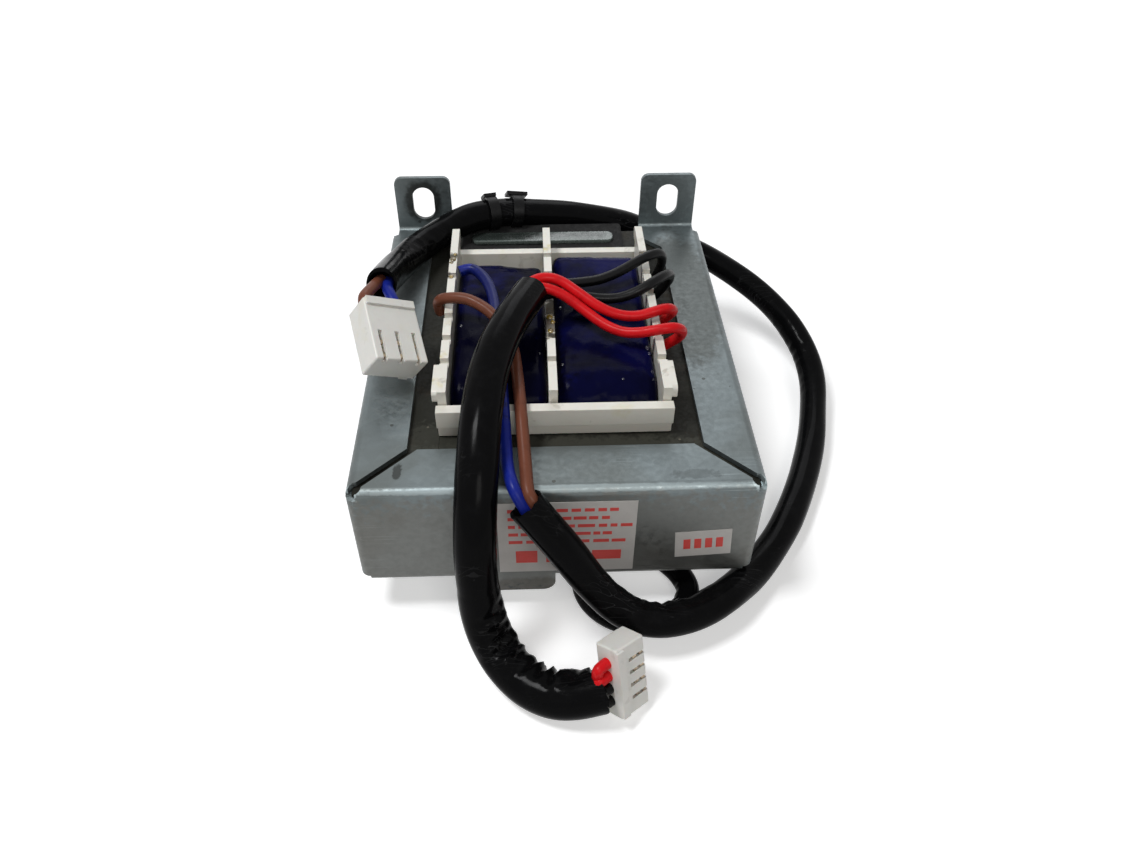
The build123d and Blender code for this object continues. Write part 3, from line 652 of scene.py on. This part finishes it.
def route_curve(name, route, diameter, material):
    """A lead along a smooth spline through its route."""
    curve = bpy.data.curves.new(name, "CURVE")
    curve.dimensions = "3D"
    spline = curve.splines.new("NURBS")
    spline.points.add(len(route) - 1)
    for point, place in zip(spline.points, route):
        point.co = (place[0] * MM, place[1] * MM, place[2] * MM, 1.0)
    spline.order_u = 3
    spline.use_endpoint_u = True
    spline.resolution_u = 10
    curve.bevel_depth = diameter / 2
    curve.bevel_resolution = 5
    curve.use_fill_caps = True
    if material:
        curve.materials.append(material)
    return placed(name, curve)


def route_points(route, step):
    """Points at even steps along the smooth spline of a route."""
    guide = route_curve("guide", route, 0.0, None)
    mesh = bpy.data.meshes.new_from_object(guide)
    line = [vertex.co.copy() for vertex in mesh.vertices]
    bpy.data.meshes.remove(mesh)
    bpy.data.objects.remove(guide)
    total = sum((b - a).length for a, b in zip(line, line[1:]))
    count = max(2, round(total / step))
    spaced = [line[0]]
    walked = 0.0
    for a, b in zip(line, line[1:]):
        run = (b - a).length
        while len(spaced) < count and walked + run >= len(spaced) * total / count:
            spaced.append(a.lerp(b, (len(spaced) * total / count - walked) / run))
        walked += run
    spaced.append(line[-1])
    return spaced


def sleeve_tube(name, path, diameter, material, crease, slack, swell, lip, open_ends):
    """Sleeving along a path: slightly oval, creased inside hard bends, swollen and ragged at open ends.

    The lip is how far the far mouth reaches on along the sleeve, and on which side.
    """
    sides = 36
    radius = diameter / 2
    wall_share = 0.86
    mouth_depth, ragged, swell_reach, bend_reach = 0.006, 0.00045, 0.034, 0.0014
    hard_bend = 0.05
    lumps_per_metre, folds_per_metre, teeth_per_metre, twist_per_metre = 90, 330, 800, 35
    step = (path[1] - path[0]).length
    last = len(path) - 1
    reach = max(1, round(bend_reach / step))
    tangents = [(path[min(i + 1, last)] - path[max(i - 1, 0)]).normalized() for i in range(len(path))]
    bends = [
        (tangents[min(i + reach, last)] - tangents[max(i - reach, 0)]) / (2 * reach * step)
        for i in range(len(path))]
    across = tangents[0].orthogonal().normalized()
    angles = [2 * math.pi * index / sides for index in range(sides)]
    points, rings = [], []

    def rays(along):
        """Directions out of the sleeve, all the way round it."""
        up = along.cross(across)
        return [across * math.cos(angle) + up * math.sin(angle) for angle in angles]

    def ring(place, along, factors, torn, lip=Vector()):
        """Add one ring of points, with its edge torn along the sleeve and reaching on at the lip."""
        rings.append(len(points))
        for ray, factor in zip(rays(along), factors):
            pull = torn * noise.noise(ray * 2.6 + place * 300) + max(0.0, ray.dot(lip))
            points.append(place + ray * radius * factor + along * pull)

    plain = [wall_share] * sides
    for i, (place, along) in enumerate(zip(path, tangents)):
        across = (across - along * across.dot(along)).normalized()
        distance = i * step
        to_end = (last - i) * step
        fuller = 1 + swell * max(0.0, 1 - to_end / swell_reach) ** 0.5
        factors = []
        for angle, ray in zip(angles, rays(along)):
            inner = max(0.0, ray.dot(bends[i]) * radius - hard_bend)
            lump = noise.noise(place * lumps_per_metre + ray * 1.1)
            fold = 0.45 - 2.0 * abs(noise.noise(Vector((distance * folds_per_metre, angle * 0.5, 3.1))))
            tooth = 0.3 - abs(noise.noise(Vector((distance * teeth_per_metre, angle * 1.3, 8.7))))
            oval = slack * math.cos(2 * angle + distance * twist_per_metre)
            factors.append(fuller + oval + slack * lump + crease * inner * (fold + 0.35 * tooth))
        torn = ragged if open_ends and i in (0, last) else 0.0
        if i == 0 and open_ends:
            ring(place + along * mouth_depth, along, plain, 0.0)
            ring(place, along, plain, torn)
        ring(place, along, factors, torn, lip if i == last else Vector())
    if open_ends:
        ring(path[last], tangents[last], plain, ragged, lip)
        ring(path[last] - tangents[last] * mouth_depth, tangents[last], plain, 0.0)
    faces = []
    for a, b in zip(rings, rings[1:]):
        for index in range(sides):
            nxt = (index + 1) % sides
            faces.append((a + index, a + nxt, b + nxt, b + index))
    faces.append(tuple(reversed(range(rings[0], rings[0] + sides))))
    faces.append(tuple(range(rings[-1], rings[-1] + sides)))
    return mesh_piece(name, points, faces, [material], math.radians(60))


def rounded_outline(half_depth, half_height, radius, count):
    """Even points and outward normals round a rounded rectangle in Y and Z."""
    flat_y, flat_z = half_depth - radius, half_height - radius
    corner = math.pi * radius / 2
    total = 4 * (flat_y + flat_z + corner)
    outline = []
    for index in range(count):
        walked = total * index / count
        for quarter in range(4):
            run = 2 * (flat_y if quarter % 2 == 0 else flat_z)
            turn = quarter * math.pi / 2
            along = Vector((math.cos(turn), math.sin(turn)))
            out = Vector((math.sin(turn), -math.cos(turn)))
            reach_out = half_height if quarter % 2 == 0 else half_depth
            if walked <= run:
                outline.append((along * (walked - run / 2) + out * reach_out, out))
                break
            walked -= run
            if walked <= corner:
                angle = walked / radius
                centre = along * (run / 2) + out * (reach_out - radius)
                ray = out * math.cos(angle) + along * math.sin(angle)
                outline.append((centre + ray * radius, ray))
                break
            walked -= corner
        else:
            outline.append(outline[0])
    return outline


def taped_coil(node, number, slump, material):
    """One winding wrapped in tape: wrinkled, rounded at its sides, and slumped or raised at its rear top."""
    around, across = 300, 36
    edge, crown, corner = 0.0018, 0.00025, 0.008
    tube_half_depth, tube_bottom, tube_top, tube_corner = 0.0159, 0.00765, 0.03255, 0.0004
    slump_from, slump_reach = 0.006, 0.013
    low, high = (Vector(end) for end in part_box(node))
    middle = (low + high) / 2
    outer = rounded_outline((high.y - low.y) / 2, (high.z - low.z) / 2, corner, around)
    hole = rounded_outline(tube_half_depth, (tube_top - tube_bottom) / 2, tube_corner, around)
    points = []
    for column in range(across + 1):
        share = column / across
        x = low.x + (high.x - low.x) * share
        past_edge = max(0.0, edge - min(x - low.x, high.x - x))
        drop = edge - math.sqrt(max(0.0, edge ** 2 - past_edge ** 2))
        swell = crown * (1 - (2 * share - 1) ** 2) - crown
        for index, (place, out) in enumerate(outer):
            turn = index / around
            where = Vector((x * 330, place.x * 120, place.y * 120 + number * 7))
            wrinkle = noise.noise(where) + 0.5 * noise.noise(where * 2.3)
            lap = 1.0 if (turn * 9.0 + share * 0.8 + number * 0.4) % 3.0 < 1.6 else 0.0
            sag = noise.noise(where * 0.3 + Vector((4.0, 0.0, 9.0))) - 0.5
            rear_top = max(0.0, out.y) * min(1.0, max(0.0, (place.x - slump_from) / slump_reach))
            sunk = slump * rear_top * (1 + 0.6 * noise.noise(where * 0.45))
            lift = sizes().tape_wrinkle * (wrinkle + 0.6 * lap + 2.2 * sag) - drop + swell + sunk
            spot = place + out * lift
            points.append((x, middle.y + spot.x, middle.z + spot.y))
    for x in (high.x, low.x):
        for place, _ in hole:
            points.append((x, place.x, (tube_bottom + tube_top) / 2 + place.y))
    rows = across + 3
    faces = []
    for row in range(rows):
        here, there = row * around, (row + 1) % rows * around
        for index in range(around):
            nxt = (index + 1) % around
            faces.append((here + index, there + index, there + nxt, here + nxt))
    return mesh_piece(f"{node}_tape", points, faces, [material], math.radians(50))


def contacts_piece(name, middle, turn, size, slot, offsets, material):
    """Crimped contacts in the slots of a connector, in millimetres from its middle."""
    side_gap, end_gap, set_back = 0.12, 0.8, 0.2
    leaf_height, fold_length, fold_height = 0.3, 0.9, 0.8
    fold_places = (0.22, 0.68)
    width = slot[0] - side_gap
    front, floor = -size[1] / 2, size[2] / 2 - slot[2]
    points, faces = [], []
    for offset in offsets:
        bars = [((offset, front + slot[1] / 2 + set_back, floor + leaf_height / 2),
                 (width, slot[1] - end_gap, leaf_height))]
        for share in fold_places:
            bars.append(((offset, front + slot[1] * share, floor + fold_height / 2),
                         (width, fold_length, fold_height)))
        for place, bar in bars:
            add_block(points, faces, (middle + turn @ Vector(place)) * MM, Vector(bar) * MM, turn)
    return seat(mesh_piece(name, points, faces, [material]), "connector_plastic")


def plug_wire_route(entry, back, aside, sleeve):
    """A wire's way from a connector's back into the mouth of its sleeve, in millimetres.

    At the connector each step is a distance out of the housing and how far the wires have drawn together.
    At the sleeve it is a distance into the mouth and how far they still stand apart.
    """
    housing_steps = ((-0.6, 0.0), (1.2, 0.0), (2.6, 0.12))
    mouth_steps = ((-1.2, 0.36), (1.5, 0.324), (4.0, 0.288))
    mouth = Vector(sleeve[-1])
    inward = (Vector(sleeve[-2]) - mouth).normalized()
    route = [entry + back * out - aside * drawn for out, drawn in housing_steps]
    return route + [mouth + inward * depth + aside * apart for depth, apart in mouth_steps]


def aim_camera(scene, stage):
    """The camera, turned by its heading, tilt and roll."""
    data = bpy.data.cameras.new("camera")
    data.lens = stage.lens
    data.sensor_width = 36.0
    data.clip_start = 0.01
    forward = Vector((
        math.sin(stage.yaw) * math.cos(stage.pitch), math.cos(stage.yaw) * math.cos(stage.pitch),
        -math.sin(stage.pitch)))
    level = forward.cross(Vector((0, 0, 1))).normalized()
    upright = level.cross(forward)
    right = level * math.cos(stage.roll) + upright * math.sin(stage.roll)
    above = upright * math.cos(stage.roll) - level * math.sin(stage.roll)
    turn = Matrix((right, above, -forward)).transposed().to_4x4()
    camera = placed("camera", data)
    camera.matrix_world = Matrix.Translation(Vector(stage.place)) @ turn
    scene.camera = camera


def lay_floor(stage):
    """A pale floor that turns white away from the object."""
    reach, pale_to, white_from = 3.0, 0.12, 0.55
    surface = Surface("floor", {"Roughness": 0.9, "Specular IOR Level": 0.0})
    shader = surface.shader
    tone = surface.layer(
        rgba(stage.floor), rgba(stage.floor, 0.9), "Fine Grain", Scale=40.0, Low=0.0, High=0.04)
    surface.feed(shader, "Base Color", tone)
    place = surface.add("ShaderNodeTexCoord").outputs["Object"]
    away = surface.add("ShaderNodeVectorMath", {0: place}, operation="LENGTH").outputs["Value"]
    far = surface.spread(away, pale_to, white_from)
    surface.feed(shader, "Emission Color", surface.mix(far, rgba(WHITE, 0.42), WHITE))
    surface.feed(shader, "Emission Strength", surface.seen_directly())
    corners = [(-reach, -reach, 0), (reach, -reach, 0), (reach, reach, 0), (-reach, reach, 0)]
    mesh_piece("floor", corners, [(0, 1, 2, 3)], [surface.material])


def whiten_room(scene, stage):
    """White surroundings that light the object only a little."""
    world = bpy.data.worlds.new("room")
    world.use_nodes = True
    scene.world = world
    graph = Graph(world.node_tree)
    background = world.node_tree.nodes["Background"]
    graph.feed(background, "Color", WHITE)
    strength = graph.add("ShaderNodeMix", {0: graph.seen_directly(), 2: stage.room, 3: 1.0})
    graph.feed(background, "Strength", strength.outputs[0])


def hang_lamps(stage):
    """Three soft lamps; each has a place, a size, a power and a tint."""
    aim = Vector((0.01, 0.0, 0.02))
    lamps = (
        ("key", (-0.24, -0.06, 0.60), 0.15, stage.key, (0.98, 0.99, 1.0)),
        ("fill", (0.10, -0.46, 0.44), 0.20, stage.fill, (1.0, 0.98, 0.95)),
        ("back", (0.04, 0.52, 0.44), 0.30, stage.fill * 0.7, (0.95, 0.97, 1.0)),
    )
    for name, place, size, power, tint in lamps:
        lamp = bpy.data.lights.new(name, "AREA")
        lamp.size = size
        lamp.energy = power
        lamp.color = tint
        holder = placed(name, lamp)
        holder.location = place
        holder.rotation_mode = "QUATERNION"
        holder.rotation_quaternion = (aim - Vector(place)).to_track_quat("-Z", "Y")


class TRANSFORMER_OT_stage(bpy.types.Operator):
    """Make the camera, the lights and the pale floor"""

    bl_idname = "transformer.stage"
    bl_label = "Stage"

    def execute(self, context):
        """Build the stage."""
        scene = context.scene
        scene.view_settings.view_transform = "Standard"
        stage = scene.transformer_stage
        aim_camera(scene, stage)
        lay_floor(stage)
        whiten_room(scene, stage)
        hang_lamps(stage)
        return {"FINISHED"}


class TRANSFORMER_OT_leads(bpy.types.Operator):
    """Run the brown, blue, red and black leads from the bobbin into their sleeves"""

    bl_idname = "transformer.leads"
    bl_label = "Leads"

    def execute(self, context):
        """Build the leads."""
        palette = colours()
        soaked = {"blue": (
            ((-13.5, 6.0, 39.0), (7.0, 12.0, 6.0), 0.8, 0.75),
            ((-10.0, -16.0, 38.5), (4.0, 16.0, 4.0), 0.8, 0.6))}
        for name, route in LEADS.items():
            tint = name.split("_")[0]
            diameter = sizes().primary_lead if tint in ("brown", "blue") else sizes().secondary_lead
            jacket = f"{tint}_jacket"
            material = bpy.data.materials.get(jacket) or insulation_material(
                jacket, getattr(palette, tint), soaked.get(tint, ()))
            piece = route_curve(f"{name}_wire", route, diameter, material)
            seat(piece, f"{tint}_insulation", name)
        return {"FINISHED"}


class TRANSFORMER_OT_connectors(bpy.types.Operator):
    """Make the two crimp connectors with their contacts and wires"""

    bl_idname = "transformer.connectors"
    bl_label = "Connectors"

    def execute(self, context):
        """Build the connectors."""
        nylon = plastic_material("connector_nylon", colours().nylon, 0.10, 0.18)
        tin = tin_material()
        # Name, middle, directions across and up, size, pitch and number of ways, slot, sleeve, wire diameter,
        # and the wires with the way that each one goes into
        plugs = (
            ("primary", (-31.6, -10.9, 40.3), (0.775, 0.423, -0.468), (0.569, -0.200, 0.797),
             (11.1, 13.6, 6.5), 3.6, 3, (0.9, 6.0, 1.4), PRIMARY_SLEEVE, sizes().primary_lead,
             (("brown_plug_wire", 0), ("blue_plug_wire", 2))),
            ("secondary", (10.6, -65.1, 7.9), (-0.100, 0.400, 0.911), (0.650, -0.666, 0.364),
             (13.8, 6.8, 4.9), 2.5, 4, (0.7, 3.6, 1.0), SECONDARY_SLEEVE, sizes().secondary_lead,
             (("black_plug_wire_2", 0), ("black_plug_wire_1", 1), ("red_plug_wire_2", 2),
              ("red_plug_wire_1", 3))),
        )
        for label, centre, across, up, size, pitch, ways, slot, sleeve, diameter, wires in plugs:
            side = Vector(across).normalized()
            top = Vector(up).normalized()
            back = top.cross(side)
            middle = Vector(centre)
            turn = Matrix((side, back, top)).transposed()
            offsets = [(way - (ways - 1) / 2) * pitch for way in range(ways)]
            rounded_copy(
                f"{label}_connector", f"{label}_housing", sizes().moulding_edge, nylon, "connector_plastic")
            contacts_piece(f"{label}_contacts", middle, turn, size, slot, offsets, tin)
            for name, way in wires:
                entry = middle + side * offsets[way] + back * (size[1] / 2)
                route = plug_wire_route(entry, back, side * offsets[way], sleeve)
                tint = name.split("_")[0]
                wire = route_curve(name + "_run", route, diameter, bpy.data.materials[f"{tint}_jacket"])
                seat(wire, f"{tint}_insulation", name)
        return {"FINISHED"}


class TRANSFORMER_OT_sleeves(bpy.types.Operator):
    """Pull the black sleeves over the leads and lay the loop under the front wall"""

    bl_idname = "transformer.sleeves"
    bl_label = "Sleeves"

    def execute(self, context):
        """Build the sleeves."""
        black = sleeve_material()
        point_step = 0.0005
        # Name, route, diameter, length and far end, then crease, slack, swell and lip,
        # and the pieces that move with the sleeve
        runs = (
            ("primary_sleeve", PRIMARY_SLEEVE, sizes().primary_sleeve, 275.0, "connector",
             1.3, 0.07, 0.05, (0.0, 0.0, 0.0),
             ("primary_housing", "primary_contacts", "brown_plug_wire_run", "blue_plug_wire_run",
              "tie_strap_1", "tie_strap_2")),
            ("secondary_sleeve", SECONDARY_SLEEVE, sizes().secondary_sleeve, 100.1, "connector",
             1.5, 0.04, 0.16, (-0.5, -2.5, 1.7),
             ("secondary_housing", "secondary_contacts", "red_plug_wire_1_run", "red_plug_wire_2_run",
              "black_plug_wire_1_run", "black_plug_wire_2_run")),
            ("underside_loop", UNDERSIDE_LOOP, sizes().loop, 57.3, "object",
             0.3, 0.03, 0.0, (0.0, 0.0, 0.0), ()),
        )
        for name, route, diameter, real_length, far_end, crease, slack, swell, lip, carried in runs:
            path = route_points(route, point_step)
            piece = sleeve_tube(
                f"{name}_tube", path, diameter, black, crease, slack, swell, Vector(lip) * MM,
                far_end == "connector")
            seat(piece, "black_sleeving", name)
        return {"FINISHED"}


class TRANSFORMER_OT_tie(bpy.types.Operator):
    """Fasten the cable ties round the primary sleeve"""

    bl_idname = "transformer.tie"
    bl_label = "Cable ties"

    def execute(self, context):
        """Build the cable ties."""
        material = insulation_material("black_nylon", colours().black)
        for number in (1, 2):
            rounded_copy(
                f"cable_tie_{number}", f"tie_strap_{number}", sizes().moulding_edge, material, "tie_nylon")
        return {"FINISHED"}


class TRANSFORMER_OT_core(bpy.types.Operator):
    """Stack the core from single laminations, turned over every few plates"""

    bl_idname = "transformer.core"
    bl_label = "Core"

    def execute(self, context):
        """Build the core."""
        rng = random.Random(sizes().seed)
        low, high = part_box("e_laminations")
        half_width, half_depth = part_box("i_laminations")[1][0], high[1]
        module = half_depth / 3
        bottom, top = low[2], high[2]
        count = round((top - bottom) / sizes().lamination)
        pitch = (top - bottom) / count
        gap_share, joint, slip = 0.10, 0.00006, 0.00008
        laid_alike = 3
        points, faces = [], []
        inner = half_width - module
        reach = inner - joint
        e_outline = [
            (-half_width, -half_depth), (reach, -half_depth), (reach, -half_depth + module),
            (-inner, -half_depth + module), (-inner, -module), (reach, -module), (reach, module),
            (-inner, module), (-inner, half_depth - module), (reach, half_depth - module),
            (reach, half_depth), (-half_width, half_depth)]
        i_outline = [
            (inner, -half_depth), (half_width, -half_depth), (half_width, half_depth), (inner, half_depth)]
        for layer in range(count):
            floor = bottom + pitch * layer
            ceiling = floor + pitch * (1 - gap_share)
            facing = 1 if (layer // laid_alike) % 2 else -1
            slip_x, slip_y = (rng.uniform(-slip, slip) for _ in range(2))
            for outline in (e_outline, i_outline):
                shifted = [(facing * x + slip_x, y + slip_y) for x, y in outline]
                add_plate(points, faces, shifted if facing > 0 else shifted[::-1], floor, ceiling)
        stack = mesh_piece("core_stack", points, faces, [core_material()], math.radians(20))
        seat(stack, "lamination_steel", "e_laminations", "i_laminations")
        return {"FINISHED"}


class TRANSFORMER_OT_frame(bpy.types.Operator):
    """Finish the bent clamp frame, the packing strip on the core, and the black pad on the core that stands
    in for the shade under the sleeve
    """

    bl_idname = "transformer.frame"
    bl_label = "Clamp frame"

    def execute(self, context):
        """Build the frame."""
        zinc = zinc_material()
        rounded_copy("clamp_frame", "frame_sheet", sizes().sheet_edge, zinc, "zinc_sheet")
        rounded_copy("packing_strip", "packing_bar", sizes().moulding_edge, strip_material(), "strip_plastic")
        # The pad's rear edge is curled up under the sleeve, so that its black fills the shaded gap there.
        curled = 0.0025
        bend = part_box("rear_pad")[1][1] - curled
        curl = Vector((0.0, 0.0009, 0.0010))
        rounded_copy(
            "rear_pad", "pad_block", sizes().moulding_edge, shade_pad_material(), "pad_fibre", cut=bend,
            move=lambda place: curl * max(0.0, (place.y - bend) / curled))
        return {"FINISHED"}


class TRANSFORMER_OT_bobbin(bpy.types.Operator):
    """Finish the moulded bobbin, its liners and the varnish drops on them"""

    bl_idname = "transformer.bobbin"
    bl_label = "Bobbin"

    def execute(self, context):
        """Build the bobbin."""
        palette = colours()
        plastic = plastic_material("bobbin_moulding", palette.plastic, 0.65, 0.40, (
            ((-0.3, -2.0, 40.6), (2.0, 3.2, 3.0), 1.2, 0.85),
            ((-0.3, -7.5, 40.4), (2.0, 3.4, 3.2), 1.2, 0.85),
            ((-0.3, 9.0, 40.6), (2.0, 2.2, 3.0), 1.2, 0.5),
            ((-21.0, 10.6, 40.4), (2.0, 1.2, 2.6), 0.9, 0.7),
            ((-21.0, 18.0, 40.4), (2.0, 1.2, 2.6), 0.9, 0.6),
            ((21.0, 3.6, 40.4), (2.0, 1.3, 2.6), 0.9, 0.6),
            ((21.0, -6.0, 40.2), (2.0, 2.0, 3.0), 1.0, 0.6),
            ((21.0, 18.0, 40.4), (2.0, 1.2, 2.6), 0.9, 0.5)))
        liner = plastic_material("liner_moulding", palette.plastic, 0.20, 0.30)
        rounded_copy("bobbin", "bobbin_body", sizes().moulding_edge, plastic, "bobbin_plastic")
        rounded_copy("front_liner", "front_liner_wall", sizes().moulding_edge, liner, "bobbin_plastic")
        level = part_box("rear_liner")[1][2] - sizes().liner_drop
        rounded_copy(
            "rear_liner", "rear_liner_wall", sizes().moulding_edge, liner, "bobbin_plastic",
            move=lambda place: Vector((0.0, 0.0, min(0.0, level - place.z))))
        drops_piece("varnish_drops", (
            (-0.4, -4.6, 40.2, 0.75), (0.2, -6.4, 40.2, 0.5), (-0.3, -9.2, 40.2, 0.6),
            (-20.6, 16.8, 40.2, 0.7), (-20.2, 18.8, 40.2, 0.45), (-20.6, 10.2, 40.2, 0.5),
            (20.6, -4.4, 40.2, 0.6), (20.5, 5.0, 40.2, 0.5), (20.6, 17.6, 40.2, 0.5),
            (-0.5, 8.6, 40.2, 0.45), (-20.9, 15.6, 40.1, 0.5),
        ), varnish_material(), "bobbin_plastic")
        return {"FINISHED"}


class TRANSFORMER_OT_windings(bpy.types.Operator):
    """Wrap the two windings in wrinkled blue tape"""

    bl_idname = "transformer.windings"
    bl_label = "Windings"

    def execute(self, context):
        """Build the windings."""
        tape = tape_material("blue_tape", 0.012)
        for number, (node, slump) in enumerate((("primary_winding", -0.0017), ("secondary_winding", 0.0005))):
            seat(taped_coil(node, number, slump, tape), "winding_tape", node)
        drops_piece("tape_drops", (
            (18.6, -11.5, 37.2, 0.55), (18.8, -13.0, 37.1, 0.4), (18.5, -18.5, 36.9, 0.6),
            (18.7, -20.3, 36.6, 0.35), (13.0, -20.5, 37.1, 0.35), (-2.6, -12.5, 37.1, 0.4),
            (1.8, -16.0, 37.1, 0.35), (2.0, 2.5, 37.2, 0.4), (-18.2, -3.0, 37.1, 0.4),
            (-3.0, 7.0, 37.3, 0.35), (8.0, -14.0, 37.4, 0.3), (15.0, -6.0, 37.4, 0.3),
        ), tape_material("wet_tape", 0.6), "winding_tape")
        return {"FINISHED"}


class TRANSFORMER_OT_labels(bpy.types.Operator):
    """Stick two plain ruled labels on the front wall"""

    bl_idname = "transformer.labels"
    bl_label = "Labels"

    def execute(self, context):
        """Build the labels."""
        palette = colours()
        paper = paper_material("label_paper", palette.paper)
        ink = paper_material("label_ink", palette.ink)
        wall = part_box("clamp_frame")[0][1]
        thick = sizes().label_thickness
        raised = 0.00002
        rng = random.Random(sizes().seed)
        # Name, place on the wall, size and tilt, then the heights, half length and thickness of ruled rows,
        # and the bars
        labels = (
            ("rating_label", (1.6, 19.6), (25.0, 19.0), 0.0, (7.4, 5.3, 3.2, 1.1, -1.0), 10.6, 0.85,
             [(-7.4, -5.2, 4.0, 3.4), (-1.6, -5.2, 4.4, 3.4), (7.4, -5.0, 5.4, 2.6)]),
            ("date_label", (26.8, 17.1), (10.4, 6.9), 4.0, (), 0.0, 0.0,
             [(-3.0, 0.0, 1.3, 2.7), (-1.0, 0.0, 1.3, 2.7), (1.0, 0.0, 1.3, 2.7), (3.0, 0.0, 1.3, 2.7)]),
        )
        for name, (x, z), (width, height), tilt, rows, reach, rule, bars in labels:
            turn = Matrix.Rotation(math.radians(-tilt), 3, "Y")
            centre = Vector((x * MM, wall - thick / 2 - raised, z * MM))
            points, faces = [], []
            add_block(points, faces, centre, (width * MM, thick, height * MM), turn)
            sheet_faces = len(faces)
            marks = list(bars)
            for row in rows:
                start = -reach
                while start < reach * rng.uniform(0.55, 1.0):
                    dash = rng.uniform(1.2, 3.4)
                    marks.append((start + dash / 2, row, dash, rule))
                    start += dash + rng.uniform(0.35, 0.7)
            for mark_x, mark_z, mark_width, mark_height in marks:
                shift = turn @ Vector((mark_x * MM, -thick / 2 - raised / 2, mark_z * MM))
                add_block(points, faces, centre + shift, (mark_width * MM, raised, mark_height * MM), turn)
            piece = mesh_piece(name, points, faces, [paper, ink], math.radians(30))
            for polygon in piece.data.polygons[sheet_faces:]:
                polygon.material_index = 1
            seat(piece, "zinc_sheet")
        return {"FINISHED"}


class TRANSFORMER_PT_sidebar(bpy.types.Panel):
    """Sizes, colours and build steps of the transformer"""

    bl_idname = "TRANSFORMER_PT_sidebar"
    bl_label = "Transformer"
    bl_space_type = "VIEW_3D"
    bl_region_type = "UI"
    bl_category = "Transformer"

    def draw(self, context):
        """Draw the settings and the build buttons."""
        scene = context.scene
        for title, settings in (
                ("Sizes", scene.transformer_sizes), ("Colours", scene.transformer_colours),
                ("Stage", scene.transformer_stage)):
            box = self.layout.box()
            box.label(text=title)
            for key in settings.__annotations__:
                box.prop(settings, key)
        for step in STEPS:
            self.layout.operator(step.bl_idname)


STEPS = (
    TRANSFORMER_OT_stage, TRANSFORMER_OT_frame, TRANSFORMER_OT_core, TRANSFORMER_OT_bobbin,
    TRANSFORMER_OT_windings, TRANSFORMER_OT_leads, TRANSFORMER_OT_connectors, TRANSFORMER_OT_tie,
    TRANSFORMER_OT_sleeves, TRANSFORMER_OT_labels,
)
SETTINGS = {
    "transformer_sizes": TransformerSizes,
    "transformer_colours": TransformerColours,
    "transformer_stage": TransformerStage,
}


def register():
    """Register the settings, the build steps and the sidebar."""
    for name, kind in SETTINGS.items():
        bpy.utils.register_class(kind)
        setattr(bpy.types.Scene, name, PointerProperty(type=kind))
    for step in STEPS:
        bpy.utils.register_class(step)
    bpy.utils.register_class(TRANSFORMER_PT_sidebar)


def unregister():
    """Undo the registration."""
    bpy.utils.unregister_class(TRANSFORMER_PT_sidebar)
    for step in reversed(STEPS):
        bpy.utils.unregister_class(step)
    for name, kind in SETTINGS.items():
        delattr(bpy.types.Scene, name)
        bpy.utils.unregister_class(kind)


def main():
    """Build the whole scene."""
    register()
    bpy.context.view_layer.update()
    make_groups()
    for step in STEPS:
        category, name = step.bl_idname.split(".")
        getattr(getattr(bpy.ops, category), name)()


if __name__ == "__main__":
    main()
